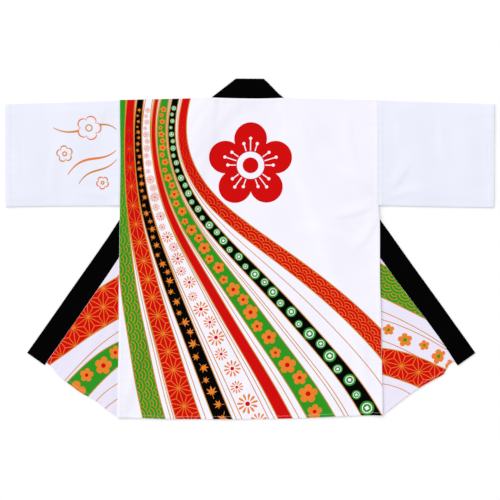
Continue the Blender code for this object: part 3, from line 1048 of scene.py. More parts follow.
def cut(ring, pitch, shapes=(), rows=()):
    """(points, triangles) of the cloth inside a ring, cut along shapes, with rows of points that hold
    its hems and a field of points between. The ring's points come first and in their order."""
    points = [tuple(p) for p in ring]
    edges = [(i, (i + 1) % len(ring)) for i in range(len(ring))]
    for item in shapes:
        first = len(points)
        count = len(item["outline"])
        points += [tuple(p) for p in item["outline"]]
        edges += [(first + i, first + (i + 1) % count) for i in range(count)]
    on_ring = lookup(ring)
    # The rows go in first, and then the field, each clear of the ring and of all that is there before it.
    for group, clear_of_ring, clear in (
        (np.vstack([np.empty((0, 2)), *rows]), ROW_CLEAR_OF_RING, ROW_CLEAR_OF_LINES),
        (field(ring, pitch), FIELD_CLEAR_OF_RING * pitch, FIELD_CLEAR_OF_LINES * pitch),
    ):
        taken = lookup(points)
        for x, y in group[inside(ring, group)]:
            if on_ring.find((x, y, 0))[2] > clear_of_ring and taken.find((x, y, 0))[2] > clear:
                points.append((x, y))
    inputs = [Vector(p) for p in points]
    found, _, faces, sources, _, _ = delaunay_2d_cdt(inputs, edges, [], INSIDE_LINES, ALMOST_NOTHING)
    first_use = {source: i for i, group in enumerate(sources) for source in group}
    order = [first_use[i] for i in range(len(ring))]
    in_order = set(order)
    rest = [i for i in range(len(found)) if i not in in_order]
    place = {old: new for new, old in enumerate(order + rest)}
    plan_points = np.array([tuple(found[i]) for i in order + rest])
    triangles = np.array([[place[i] for i in face] for face in faces])
    return plan_points, triangles


sample_points, sample_faces = cut(stepped(FRONT_OUTLINE, 0.020), 0.020)
print("triangles in a coarse front:", len(sample_faces))

# %% [markdown]
# ## Inking the faces
#
# Each face takes the ink of the last shape that covers its middle, so the edges of the print are sharp at
# any distance. Faces of a lane also keep how far along and across the lane they lie, in metres, as a UV map
# for the small repeats, which then follow the lane round its bends.

# %% Inking
def painted(points, triangles, shapes):
    """Ink of each triangle, and the print map of its corners: the distance along and across its lane."""
    middles = points[triangles].mean(1)
    owner = np.full(len(triangles), -1)
    for number, item in enumerate(shapes):
        low, high = item["outline"].min(0), item["outline"].max(0)
        near = np.flatnonzero(((middles >= low) & (middles <= high)).all(1))
        covered = near[inside(item["outline"], middles[near])]
        owner[covered] = number
    inks = np.zeros(len(triangles), dtype=int)
    maps = np.zeros((len(triangles), 3, 2))
    for number, item in enumerate(shapes):
        mine = np.flatnonzero(owner == number)
        inks[mine] = item["ink"]
        if item["centre"] is None or len(mine) == 0:
            continue
        line = item["centre"]
        ran = distance_run(line)
        corners = points[triangles[mine]].reshape(-1, 2)
        nearest, _, edge, share = nearest_on(line, corners, closed=False)
        way = (line[1:] - line[:-1])[edge]
        across = ((corners - nearest) * np.column_stack((-way[:, 1], way[:, 0]))).sum(1)
        across = across / np.linalg.norm(way, axis=1)
        along = item["ran_before"] + ran[edge] + share * (ran[edge + 1] - ran[edge])
        maps[mine] = np.column_stack((along, across)).reshape(-1, 3, 2)
    return inks, maps


sample_shape = [shape(disc(plan(-0.2, 0.0), 0.1), "red")]
sample_inks, _ = painted(sample_points, sample_faces, sample_shape)
print("of them under a red disc:", int((sample_inks == INK_NUMBER["red"]).sum()))

# %% [markdown]
# ## Sewing faces into a shell
#
# Each piece of cloth is a closed shell with two faces and a rim. A Solidify modifier could give the
# thickness, but the two faces meet different neighbours and lie at heights of their own, so both are made,
# and the rim is sewn between them.

# %% A shell of cloth
SHARP_ANGLE = math.radians(50)


class Cloth:
    """Collects the faces of one piece of cloth, and makes them a mesh."""

    def __init__(self):
        self.corners = []
        self.faces = []
        self.inks = []
        self.maps = []

    def place(self, points):
        """Adds points (x, y, z), and returns their numbers."""
        first = len(self.corners)
        self.corners += [tuple(p) for p in points]
        return np.arange(first, len(self.corners))

    def add(self, faces, inks=None, maps=None):
        """Adds faces, with their inks and print maps. Plain faces take the first ink."""
        for i, face in enumerate(faces):
            self.faces.append([int(corner) for corner in face])
            self.inks.append(0 if inks is None else int(inks[i]))
            self.maps.append(np.zeros((len(face), 2)) if maps is None else maps[i])

    def sheet(self, points, triangles, heights, inks=None, maps=None):
        """Adds a face of the cloth, and returns its points' numbers."""
        numbers = self.place(np.column_stack((points, heights)))
        self.add(numbers[triangles], inks, maps)
        return numbers

    def bridge(self, first, second, closed=False):
        """Joins two rows of points by quads."""
        pairs = list(zip(first, second))
        if closed:
            pairs.append(pairs[0])
        self.add([(a, b, d, c) for (a, b), (c, d) in zip(pairs, pairs[1:])])

    def make(self, name, materials, flip=False):
        """Makes the mesh and its object, laid out as the coat lies. Flip mirrors left to right."""
        mesh = bpy.data.meshes.new(name)
        mesh.from_pydata(laid(np.array(self.corners) * (-1 if flip else 1, 1, 1)), [], self.faces)
        printed = mesh.uv_layers.new(name="print")
        printed.data.foreach_set("uv", np.concatenate([np.ravel(m) for m in self.maps]))
        mesh.polygons.foreach_set("material_index", self.inks)
        built = bmesh.new()
        built.from_mesh(mesh)
        bmesh.ops.triangulate(built, faces=[face for face in built.faces if len(face.verts) > 3])
        bmesh.ops.recalc_face_normals(built, faces=built.faces[:])
        loose = sum(not edge.is_manifold for edge in built.edges)
        built.to_mesh(mesh)
        print(f"{name}: {len(built.faces)} triangles, {loose} open edges")
        built.free()
        for material in materials:
            mesh.materials.append(material)
        mesh.shade_smooth()
        mesh.set_sharp_from_angle(angle=SHARP_ANGLE)
        made = bpy.data.objects.new(name, mesh)
        bpy.context.scene.collection.objects.link(made)
        return made


print("edges sharper than", round(math.degrees(SHARP_ANGLE)), "degrees stay sharp")

# %% [markdown]
# ## The print of the back
#
# A stream of lanes comes in at the left shoulder, swings across the back in an S, and runs off over the
# hem and the right side seam. Each lane is one curve out of a fan of curves, so they spread evenly. A
# large red plum blossom stands above the stream, between the shoulders.

# %% Lanes of the back
STREAM_LEFT = ((-0.338, 0.415), (-0.352, 0.120), (-0.345, -0.120), (-0.262, -0.470))
STREAM_MIDDLE = ((-0.2435, 0.418), (-0.330, 0.105), (-0.030, -0.215), (0.160, -0.690))
STREAM_RIGHT = ((-0.151, 0.421), (-0.250, 0.090), (0.120, 0.070), (0.380, -0.215))

# Place in the fan, ink, width at the start and at the end, and the motifs: their spacing and size as
# shares of the half width, what they are, and their two inks.
LANES = (
    (0.020, "green waves", 0.0220, 0.062, None),
    (0.150, "red leaf", 0.0230, 0.070, None),
    (0.285, "black", 0.0200, 0.052, (1.75, 0.90, leaf, "orange", "red")),
    (0.410, "white cotton", 0.0200, 0.070, (1.85, 0.92, daisy, "orange", "red")),
    (0.520, "red", 0.0120, 0.038, None),
    (0.640, "green", 0.0220, 0.068, (1.70, 0.86, plum, "orange", "red")),
    (0.790, "black", 0.0200, 0.048, (2.10, 0.86, coin, "green", "white cotton")),
    (0.945, "red waves", 0.0220, 0.056, None),
)
LINE_PLACES = (0.083, 0.095, 0.219, 0.338, 0.481, 0.568, 0.712, 0.724, 0.868)
LINE_WIDTH = 0.0024
LINE_AT_START = 0.6


def in_the_fan(place):
    """Control points of the curve at one place in the fan, from 0 at the left to 1 at the right."""
    left, middle, right = (np.array(c) for c in (STREAM_LEFT, STREAM_MIDDLE, STREAM_RIGHT))
    return (1 - place) ** 2 * left + 2 * place * (1 - place) * middle + place ** 2 * right


print("the middle curve starts at", np.round(in_the_fan(0.5)[0], 3))

# %% [markdown]
# ## The blossom between the shoulders
#
# A bold five-petalled plum blossom fills the upper back. It is five discs about a heart, which overlap as
# the petals do, and three white stamens in each petal. Every size is a share of one radius, so the blossom
# is scaled by changing one number.

# %% Plum blossom, and the whole print of the back
CREST_CENTRE = plan(0.003, 0.222)
CREST_RADIUS = 0.070
CREST_PETALS = 5
CREST_PETAL = 0.62
# Discs of the heart: radius as a share, points, ink.
CREST_HEART = ((0.66, 40, "red"), (0.52, 40, "white cotton"), (0.30, 32, "red"))
# Stamens of a petal: lean to the side in radians, and reach as a share.
STAMENS = ((-0.30, 0.86), (0.0, 1.02), (0.30, 0.86))
STAMEN_START = 0.56
STAMEN_HALF_WIDTH = 0.0014
STAMEN_TIP = 0.0042


def plum_crest(centre, radius):
    """A bold five-petalled plum blossom: round petals about a heart, with stamens."""
    headings = [2 * math.pi * k / CREST_PETALS for k in range(CREST_PETALS)]
    petal_middles = [centre + heading_out(heading) * radius for heading in headings]
    made = [shape(disc(middle, radius * CREST_PETAL, points=48), "red") for middle in petal_middles]
    made += [shape(disc(centre, radius * share, points=points), ink) for share, points, ink in CREST_HEART]
    for heading in headings:
        for lean, reach in STAMENS:
            out = heading_out(heading + lean)
            tip = centre + out * radius * reach
            stem = np.linspace(centre + out * radius * STAMEN_START, tip, 5)
            made.append(shape(strip(stem, STAMEN_HALF_WIDTH), "white cotton"))
            made.append(shape(disc(tip, STAMEN_TIP, points=12), "white cotton"))
    return made


def back_print():
    """All shapes of the back, in the order of printing."""
    made = []
    for place in LINE_PLACES:
        made += lane(in_the_fan(place), "gold", LINE_WIDTH * LINE_AT_START, LINE_WIDTH, border=0)
    for place, ink, at_start, at_end, motif in LANES:
        made += lane(in_the_fan(place), ink, at_start, at_end, motif)
    return made + plum_crest(CREST_CENTRE, CREST_RADIUS)


print("shapes in the blossom:", len(plum_crest(CREST_CENTRE, CREST_RADIUS)))

# %% [markdown]
# ## The back's height and edges
#
# The back is the largest piece, one cloth from side seam to side seam. Its height is that of what it lies
# on, plus creases, plus its own thickness, plus what its hem and seams add. Rows of points beside each
# edge hold the hem's step, which the even field would blur.

# %% Height of the back
# Distances between points: fine on cloth that shows, coarse on hidden cloth, and middling along its edges.
FINE = 0.0056
COARSE = 0.0110
MIDDLING = 0.0080


def rows_beside(line, depths, step):
    """Rows of points on the left of a line's direction, at the given depths."""
    rows = []
    for start, end in zip(line, line[1:]):
        inwards = unit(plan(start[1] - end[1], end[0] - start[0]))
        row = stepped(np.array((start, end)), step, closed=False)
        rows += [row + inwards * depth for depth in depths]
    return np.vstack(rows)


def side_half(y):
    """Half the body's width at a height up the back."""
    share = np.clip((UNDERARM_Y - y) / (UNDERARM_Y - HEM_Y), 0, 1)
    return BODY_HALF_AT_ARMHOLE + (BODY_HALF_AT_HEM - BODY_HALF_AT_ARMHOLE) * share


def back_edges(points):
    """Height that the back's hem and its seams add."""
    x, y = points[:, 0], points[:, 1]
    hem = turned_edge(y - HEM_Y, BODY_HEM, x)
    side = turned_edge(side_half(y) - np.abs(x), SIDE_ALLOWANCE, y)
    neck = turned_edge(nearest_on(neckline(), points, closed=False)[1], SIDE_ALLOWANCE, x)
    return hem + side + neck


def back_height(points):
    """The back's upper face."""
    return flat_under_back(points) + soft_rise(points) + WALL + back_edges(points)


print("back at its middle, in mm:", np.round(1000 * back_height(np.zeros((1, 2))), 2))

# %% [markdown]
# ## The back panel
#
# Trimming needs an outline with no inward corner, but the back's flared sides turn in a little at the
# underarm. So its print is squared up first, trimmed and moved back again. The upper face is cut along the
# print, and the lower face is plain, so that one has fewer points.

# %% Back panel
def kept_inside(shapes, outline):
    """Shapes clipped to a convex outline, without those that fall outside it."""
    made = []
    for item in shapes:
        polygon = clipped(item["outline"], outline)
        if len(polygon) >= 3:
            made.append({**item, "outline": polygon})
    return made


def squared(points, back_again=False):
    """Points of the back moved sideways so that its flared sides run straight, or moved back again."""
    flare = (side_half(points[:, 1]) / BODY_HALF_AT_ARMHOLE)[:, None]
    return np.column_stack((points[:, :1] * flare if back_again else points[:, :1] / flare, points[:, 1:]))


SQUARED_CORNER = plan(-BODY_HALF_AT_ARMHOLE, HEM_Y)
BACK_FRAME = np.array((
    SQUARED_CORNER, mirrored(SQUARED_CORNER), mirrored(ARMHOLE_TOP), mirrored(NECK_POINT), NECK_POINT,
    ARMHOLE_TOP,
))
NECK_ROWS = 4
SIDE_DEPTHS = line_depths(SIDE_ALLOWANCE)
back_ring = stepped(BACK_OUTLINE, FINE)
back_shapes = back_print()
for item in back_shapes:
    item["outline"] = squared(item["outline"])
back_shapes = kept_inside(back_shapes, drawn_in(BACK_FRAME, CLEAR_OF_EDGE))
for item in back_shapes:
    item["outline"] = squared(stepped(item["outline"], FINE), back_again=True)
# The upper face has rows of points beside its hem, its side seams and the neck.
guides = [
    rows_beside([HEM_CORNER, mirrored(HEM_CORNER)], line_depths(BODY_HEM), FINE),
    rows_beside([ARMHOLE_TOP, UNDERARM, HEM_CORNER], SIDE_DEPTHS, FINE),
    rows_beside([mirrored(HEM_CORNER), mirrored(UNDERARM), mirrored(ARMHOLE_TOP)], SIDE_DEPTHS, FINE),
    rows_beside(neckline()[::-1], SIDE_DEPTHS[:NECK_ROWS], FINE),
]
# The lower face has points along the edges of the layers that it lies on.
carried = [
    stepped(BAND_OUTLINE, MIDDLING), stepped(mirrored(BAND_OUTLINE), MIDDLING),
    stepped(FRONT_OUTLINE, MIDDLING), stepped(mirrored(FRONT_OUTLINE), MIDDLING),
]
top_points, top_faces = cut(back_ring, FINE, back_shapes, guides)
top_inks, top_maps = painted(top_points, top_faces, back_shapes)
low_points, low_faces = cut(back_ring, COARSE, rows=carried)
cloth = Cloth()
upper = cloth.sheet(top_points, top_faces, back_height(top_points), top_inks, top_maps)
lower = cloth.sheet(low_points, low_faces, flat_under_back(low_points) + soft_rise(low_points))
cloth.bridge(upper[:len(back_ring)], lower[:len(back_ring)], closed=True)
back = cloth.make("back_cloth", INKS.values())

# %% [markdown]
# ## Heights of the sleeves
#
# Each sleeve is one piece folded at the top and seamed under the arm, a flat tube pressed on the floor. Its
# upper cloth has the coat's creases, which die away towards its folded edges, where the cloth is tight. At
# the armhole it has to come up to the back's level, since the two are sewn together there.

# %% Heights of the sleeves
SLEEVE_START = BODY_HALF_AT_ARMHOLE + GAP
SLEEVE_FULL = 2 * WALL + GAP
FOLD_ROUND = SLEEVE_FULL / 2
FOLD_STEPS = 6
# Within this distance of its folded edges a sleeve's creases die away to this share of their height.
SLEEVE_QUIET = 0.030
QUIET_SHARE = 0.30
SEAM_TOPSTITCH = 0.0095


def sleeve_limits(x):
    """Lower and upper edge of a sleeve's flat part at a distance from the middle of the back."""
    share = (np.abs(x) - SLEEVE_START) / (HALF_SPAN - SLEEVE_START)
    low = UNDERARM_Y + (CUFF_BOTTOM_Y - UNDERARM_Y) * share
    high = ARMHOLE_TOP_Y + (CUFF_TOP_Y - ARMHOLE_TOP_Y) * share
    return low + FOLD_ROUND, high - FOLD_ROUND


def sleeve_rise(points):
    """Height of the sleeve's upper cloth above its pressed height. It meets the back at the armhole."""
    x, y = np.abs(points[:, 0]), points[:, 1]
    low, high = sleeve_limits(x)
    quiet = smooth(np.minimum(y - low, high - y) / SLEEVE_QUIET)
    soft = soft_rise(points) * (QUIET_SHARE + (1 - QUIET_SHARE) * quiet)
    at_seam = np.column_stack((np.sign(points[:, 0]) * BODY_HALF_AT_ARMHOLE, y))
    meets = flat_under_back(at_seam) + soft_rise(at_seam) + WALL - SLEEVE_FULL
    beside = 1 - smooth((x - SLEEVE_START) / RAMP)
    return soft * (1 - beside) + meets * beside


def sleeve_height(points):
    """The sleeve's upper face, with its cuff's hem and the topstitched seam."""
    x, y = np.abs(points[:, 0]), points[:, 1]
    cuff = turned_edge(HALF_SPAN - x, CUFF_HEM, y)
    seam = turned_edge(x - SLEEVE_START, SEAM_TOPSTITCH, y)
    return SLEEVE_FULL + sleeve_rise(points) + cuff + seam


print("sleeve at the armhole, in mm:", np.round(1000 * sleeve_height(plan(SLEEVE_START, 0.25)[None]), 2))

# %% [markdown]
# ## A sleeve as a tube
#
# The sleeve is built as a tube with a wall, so that the cuff shows two cloths with a dark slit between
# them. A single pressed slab would have been quicker, but it would look like card from the side. The same
# rows of points carry the cloth round each fold, also round the crease of the fronts later.

# %% A sleeve as a tube
def around_fold(cloth, upper, lower, way, bulge=None):
    """Rows of points round a fold, from an upper row to a lower row of the cloth, joined by faces."""
    way = np.array((way[0], way[1], 0.0))
    start = np.array([cloth.corners[i] for i in upper])
    end = np.array([cloth.corners[i] for i in lower])
    half = (start[:, 2:] - end[:, 2:]) / 2
    middle = (start + end) / 2
    reach = half if bulge is None else bulge
    rows = [upper]
    for step in range(1, FOLD_STEPS):
        angle = math.pi * step / FOLD_STEPS
        points = middle + way * reach * math.sin(angle) + np.array((0, 0, 1)) * half * math.cos(angle)
        points[:, 1] = np.maximum(points[:, 1], HEM_Y)
        rows.append(cloth.place(points))
    rows.append(lower)
    for first, second in zip(rows, rows[1:]):
        cloth.bridge(first, second)
    return rows


# The same sheeting with its threads the other way round. Its white is painted a little greyer and bluer, as
# shade for how the cross grain takes the light.
SLEEVE_WHITE_PAINTED_SHADE = "#EBECFA"
SLEEVE_COTTON_PAINTED_SHADE = cotton("white_cotton_of_the_sleeves_painted_shade", SLEEVE_WHITE_PAINTED_SHADE, mottle=0.02)
SLEEVE_INKS = [SLEEVE_COTTON_PAINTED_SHADE, *list(INKS.values())[1:]]


def make_sleeve(name, side, shapes):
    """A flat tube of cloth. Edges 0 to 3 are the lower fold, the cuff, the upper fold and the armhole."""
    low_start, high_start = sleeve_limits(SLEEVE_START)
    low_cuff, high_cuff = sleeve_limits(HALF_SPAN)
    corners = np.array((
        (SLEEVE_START, low_start), (HALF_SPAN, low_cuff), (HALF_SPAN, high_cuff), (SLEEVE_START, high_start),
    )) * (side, 1)
    ring = stepped(corners, FINE)
    turns = [int(np.linalg.norm(ring - corner, axis=1).argmin()) for corner in corners] + [len(ring)]
    rows = [
        rows_beside([corners[1], corners[2]][::side], line_depths(CUFF_HEM), FINE),
        rows_beside([corners[3], corners[0]][::side], line_depths(SEAM_TOPSTITCH), FINE),
    ]
    kept = kept_inside(shapes, drawn_in(corners[::side], CLEAR_OF_EDGE))
    fine_points, fine_faces = cut(ring, FINE, kept, rows)
    inks, maps = painted(fine_points, fine_faces, kept)
    plain_points, plain_faces = cut(ring, COARSE)
    inner_rise = SLEEVE_FULL - WALL + sleeve_rise(plain_points)
    cloth = Cloth()
    sheets = [
        cloth.sheet(fine_points, fine_faces, sleeve_height(fine_points), inks, maps),
        cloth.sheet(plain_points, plain_faces, np.zeros(len(plain_points))),
        cloth.sheet(plain_points, plain_faces, inner_rise),
        cloth.sheet(plain_points, plain_faces, np.full(len(plain_points), WALL)),
    ]
    rings = [sheet[: len(ring)] for sheet in sheets]

    def row(ring_numbers, edge):
        """The points of a ring along one of its four edges, by number."""
        return np.append(ring_numbers, ring_numbers[0])[turns[edge]: turns[edge + 1] + 1]

    loops = {1: [], 3: []}
    for upper, lower, bulge in ((rings[0], rings[1], FOLD_ROUND), (rings[2], rings[3], FOLD_ROUND - WALL)):
        low_fold = around_fold(cloth, row(upper, 0), row(lower, 0), (0, -1), bulge=bulge)
        high_fold = around_fold(cloth, row(upper, 2), row(lower, 2), (0, 1), bulge=bulge)
        cuff = [*row(upper, 1), *[r[0] for r in high_fold[1:-1]]]
        cuff += [*row(lower, 1)[::-1], *[r[-1] for r in low_fold[1:-1]][::-1]]
        armhole = [*row(upper, 3), *[r[0] for r in low_fold[1:-1]]]
        armhole += [*row(lower, 3)[::-1], *[r[-1] for r in high_fold[1:-1]][::-1]]
        loops[1].append(cuff)
        loops[3].append(armhole)
    # The outer and the inner tube are joined at the cuff and at the armhole, all round.
    for outer, inner in loops.values():
        cloth.bridge(outer, inner, closed=True)
    return cloth.make(name, SLEEVE_INKS)


# %% [markdown]
# ## The print of the left sleeve, and both sleeves
#
# Three blossoms in outline and three brush strokes drift over the left sleeve, and the right sleeve is bare.
# An outline is one flower in ink with a smaller one in the cloth's white on it. The strokes swell in the
# middle, as a brush's do, since lines of even width look drawn with a ruler.

# %% Print of the left sleeve, and both sleeves
PETAL_LINE = 0.0038
HEART_LINE = 0.0034
HEART_SHARE = 0.30


def outlined_blossom(centre, radius, ink, heart, turn):
    """A flower drawn in line: its petals are a rim of ink about the cloth."""
    centre = np.asarray(centre, dtype=float)
    heart_radius = radius * HEART_SHARE
    return [
        shape(petals(centre, radius, turn=turn), ink),
        shape(petals(centre, radius - PETAL_LINE, turn=turn), "white cotton"),
        shape(disc(centre, heart_radius, points=20), heart),
        shape(disc(centre, heart_radius - HEART_LINE, points=16), "white cotton"),
    ]


sleeve_print = [
    stroke(((-0.350, 0.318), (-0.400, 0.362), (-0.450, 0.282), (-0.520, 0.322)), "gold", 0.0062),
    stroke(((-0.352, 0.262), (-0.395, 0.222), (-0.440, 0.262), (-0.482, 0.196)), "orange", 0.0062),
    stroke(((-0.350, 0.238), (-0.385, 0.196), (-0.425, 0.222), (-0.452, 0.172)), "gold", 0.0050),
    *outlined_blossom((-0.424, 0.322), 0.034, "orange", "gold", turn=0.3),
    *outlined_blossom((-0.490, 0.252), 0.023, "gold", "orange", turn=1.1),
    *outlined_blossom((-0.388, 0.176), 0.018, "orange", "gold", turn=0.7),
]
sleeve_left = make_sleeve("sleeve_left_cloth", -1, sleeve_print)
sleeve_right = make_sleeve("sleeve_right_cloth", 1, [])

# %% [markdown]
# ## The flaps' hems
#
# The hems of the two turned-out flaps don't run straight in the photograph. Where a front is pulled, its
# hem is drawn in a few millimetres, and more beside the band, whose weight holds the cloth. The points of
# the flap move with it and less so further in, as threads would share the pull.

# %% Drawn-in hems and heights of the flaps
# Over this distance from the body's edge a flap takes on its creases, at this share of their height.
FLAP_APPEARS = 0.018
FLAP_SOFTNESS = 0.75
# How far into the flap a drawn-in hem still moves the cloth.
HITCH_REACH = 0.070
# Beside the band: depths for the left side, -1, and for the right side, 1, and where along the hem they fade.
HITCH_AT_BAND = {-1: 0.008, 1: 0.015}
HITCH_FADES = (0.06, 0.21)
# Share of the hem from the band to the side seam, half width as a share, and depth.
HITCHES = {-1: (0.68, 0.20, 0.0045), 1: (0.55, 0.58, 0.0095)}


def hitched(points, side):
    """Points of a flap, moved inwards from its hem where the hem is drawn in."""
    hem = HEM_CORNER - FRONT_CORNER
    share = (points - FRONT_CORNER) @ hem / (hem @ hem)
    inwards = unit(plan(-hem[1], hem[0]))
    depth = (points - FRONT_CORNER) @ inwards
    middle, half_width, deepest = HITCHES[side]
    beside = np.clip((share - middle) / half_width, -1, 1)
    dip = HITCH_AT_BAND[side] * (1 - grows(share, *HITCH_FADES)) + deepest * np.cos(math.pi / 2 * beside) ** 2
    return points + inwards * (dip * (1 - smooth(depth / HITCH_REACH)))[:, None]


def flap_height(points, real):
    """The flap's upper face, flat under the body and soft where it shows. Creases are read at the real
    place of each point, which is mirrored for the right side."""
    shown = smooth(nearest_in(FRONT_OUTLINE, points)[1] / FLAP_APPEARS)
    _, to_hem, edge, share = nearest_on(turned_hem(), points, closed=False)
    hem = turned_edge(to_hem, BODY_HEM, (edge + share) * FRONT_WIDTH / HEM_STEPS)
    to_seam = nearest_on(np.array((SEAM_TOP, SEAM_FOOT)), points, closed=False)[1]
    return WALL + shown * (FLAP_SOFTNESS * soft_rise(real) + hem - edge_drop(to_seam))


print("left hem drawn in at its corner, in mm:", round(1000 * HITCH_AT_BAND[-1], 1))

# %% [markdown]
# ## A front folded over its crease
#
# Each front is one straight panel. Under the back it lies with its outside down, and along the crease it
# turns over, so that its lower corner lies beside the body with its print up. The panel and the flap share
# one round fold, so the cloth really runs round it.

# %% A front folded over its crease
# The same sheeting, painted a little darker and warmer as shade on the turned-out flaps.
FRONT_WHITE_PAINTED_SHADE = "#EAE5F6"
FRONT_COTTON_PAINTED_SHADE = cotton("white_cotton_of_the_fronts_painted_shade", FRONT_WHITE_PAINTED_SHADE, mottle=0.02)
FRONT_INKS = [FRONT_COTTON_PAINTED_SHADE, *list(INKS.values())[1:]]


def closing_path(points, step):
    """Points along an open path, without its two ends."""
    return stepped(np.array(points), step, closed=False)[1:-1]


def make_front(name, side, shapes):
    """Built on the left, and mirrored for the right. Heights come from where each point really is."""
    crease = stepped(np.array((HEM_CORNER, CREASE_END)), MIDDLING, closed=False)
    panel_ring = np.vstack((crease, closing_path([*FRONT_OUTLINE[1:], HEM_CORNER], MIDDLING)))
    flap_ring = np.vstack((crease, closing_path(FLAP_OUTLINE, FINE)))
    carried_by = [stepped(BAND_OUTLINE, MIDDLING), stepped(FLAP_OUTLINE, MIDDLING)]
    panel_points, panel_faces = cut(panel_ring, COARSE, rows=carried_by)
    rows = [rows_beside(turned_hem(), line_depths(BODY_HEM), FINE)]
    flap_frame = np.vstack((HEM_CORNER, CREASE_END, SEAM_TOP, SEAM_FOOT, turned_hem()[1:-1]))
    kept = kept_inside(shapes, drawn_in(flap_frame, CLEAR_OF_EDGE))
    flap_points, flap_faces = cut(flap_ring, FINE, kept, rows)
    inks, maps = painted(flap_points, flap_faces, kept)
    plain_points, plain_faces = cut(flap_ring, COARSE)
    resting = under_front(panel_points)
    cloth = Cloth()
    panel_top = cloth.sheet(panel_points, panel_faces, resting + WALL)
    panel_low = cloth.sheet(panel_points, panel_faces, resting)
    heights = flap_height(flap_points, flap_points * (-side, 1))
    flap_top = cloth.sheet(hitched(flap_points, side), flap_faces, heights, inks, maps)
    flap_low = cloth.sheet(hitched(plain_points, side), plain_faces, np.zeros(len(plain_points)))
    # The panel's upper face runs round the crease into the flap's lower face, and the other way about.
    stations = slice(0, len(crease))
    outer = around_fold(cloth, panel_top[stations], flap_low[stations], CREASE_OUT)
    inner = around_fold(cloth, panel_low[stations], flap_top[stations], CREASE_OUT)
    for end in (0, -1):
        cloth.bridge([row[end] for row in outer], [row[end] for row in inner])
    # A rim closes every other edge of the panel and of the flap.
    for top, low, ring in ((panel_top, panel_low, panel_ring), (flap_top, flap_low, flap_ring)):
        open_part = [*range(len(crease) - 1, len(ring)), 0]
        cloth.bridge(top[open_part], low[open_part])
    return cloth.make(name, FRONT_INKS, flip=side > 0)


print("inks of a front:", len(FRONT_INKS))

# %% [markdown]
# ## The print of the flaps, and both fronts
#
# The stream goes on over the flaps, as it would on the fronts of the worn coat. Their lanes are listed on
# the left side for both, since the right front is built on the left and mirrored. Every lane's repeat is as
# bold as at the foot of the back.

# %% Print of the flaps, and both fronts
def flap_lane(start, turn, end, ink, first_width, last_width, motif=None, border=BORDER):
    """A lane of a flap, whose repeat is as bold as at the foot of the back."""
    controls = (start, np.array(start) * 0.5 + np.array(turn) * 0.5, turn, end)
    return lane(controls, ink, first_width, last_width, motif, border, ran_before=PATTERN_IS_FULL)


def flap_line(start, turn, end):
    """A thin gold line of a flap."""
    return flap_lane(start, turn, end, "gold", LINE_WIDTH, LINE_WIDTH, border=0)


left_flap_print = [
    *flap_line((-0.300, -0.030), (-0.400, -0.120), (-0.520, -0.200)),
    *flap_lane((-0.300, -0.110), (-0.420, -0.160), (-0.620, -0.330), "red leaf", 0.110, 0.080),
    *flap_line((-0.300, -0.200), (-0.400, -0.240), (-0.520, -0.380)),
    *flap_lane(
        (-0.300, -0.262), (-0.390, -0.290), (-0.500, -0.420), "green", 0.056, 0.074,
        (1.65, 0.88, plum, "orange", "red"),
    ),
    *flap_line((-0.300, -0.345), (-0.370, -0.360), (-0.430, -0.430)),
    *flap_line((-0.300, -0.385), (-0.350, -0.395), (-0.400, -0.440)),
]
right_flap_print = [
    *flap_lane((-0.300, -0.060), (-0.400, -0.110), (-0.520, -0.180), "green waves", 0.085, 0.070),
    *flap_line((-0.300, -0.150), (-0.400, -0.180), (-0.560, -0.290)),
    *flap_lane(
        (-0.300, -0.205), (-0.400, -0.225), (-0.560, -0.330), "white cotton", 0.056, 0.060,
        (1.90, 0.80, plum, "orange", "green"),
    ),
    *flap_lane((-0.300, -0.300), (-0.400, -0.300), (-0.560, -0.400), "red leaf", 0.070, 0.090),
    *flap_line((-0.300, -0.365), (-0.380, -0.360), (-0.450, -0.420)),
]
front_left = make_front("front_left_cloth", -1, left_flap_print)
front_right = make_front("front_right_cloth", 1, right_flap_print)

# %% [markdown]
# ## The course of the collar band
#
# The band is a long strip folded double over the raw edges. It lies straight along each front, turns at the
# neck and comes back down the other side. Its course is the two edges of the lay, cut into short steps, and
# mirrored at the middle of the neck.

# %% Course of the collar band
BAND_STEP = 0.0070
# The band lies a little thinner in places, as it was pressed: by how much, and over what length.
EASING = 0.035
EASING_LENGTH = 0.090
EASING_DRIFT = 2.0
EASING_DRIFT_LENGTH = 0.21


def whole_band():
    """Free and sewn edge of the whole band, from the left front's hem round the neck to the right one's."""
    free, sewn = [], []
    for i in range(len(BAND_FREE) - 1):
        length = np.linalg.norm(BAND_SEWN[i + 1] - BAND_SEWN[i])
        share = np.linspace(0, 1, max(2, math.ceil(length / BAND_STEP)) + 1)[:-1, None]
        free.append(BAND_FREE[i] + (BAND_FREE[i + 1] - BAND_FREE[i]) * share)
        sewn.append(BAND_SEWN[i] + (BAND_SEWN[i + 1] - BAND_SEWN[i]) * share)
    free = np.vstack([*free, BAND_FREE[-1]])
    sewn = np.vstack([*sewn, BAND_SEWN[-1]])
    return tuple(np.vstack((edge, mirrored(edge[:-1])[::-1])) for edge in (free, sewn))


band_free, band_sewn = whole_band()
ran = distance_run(band_sewn)
drift = EASING_DRIFT * np.sin(ran / EASING_DRIFT_LENGTH)
easing = 1 - EASING + EASING * np.sin(2 * math.pi * ran / EASING_LENGTH + drift)

# %% [markdown]
# ## The collar band
#
# The free edge is a fold, and near its sewn edge the band is thickest, since the seam allowances lie inside.
# One rounded section is carried along the course, which is simpler than folding a strip and keeps the
# thickness that the solids have. The dip near the sewn edge is the row of stitches.

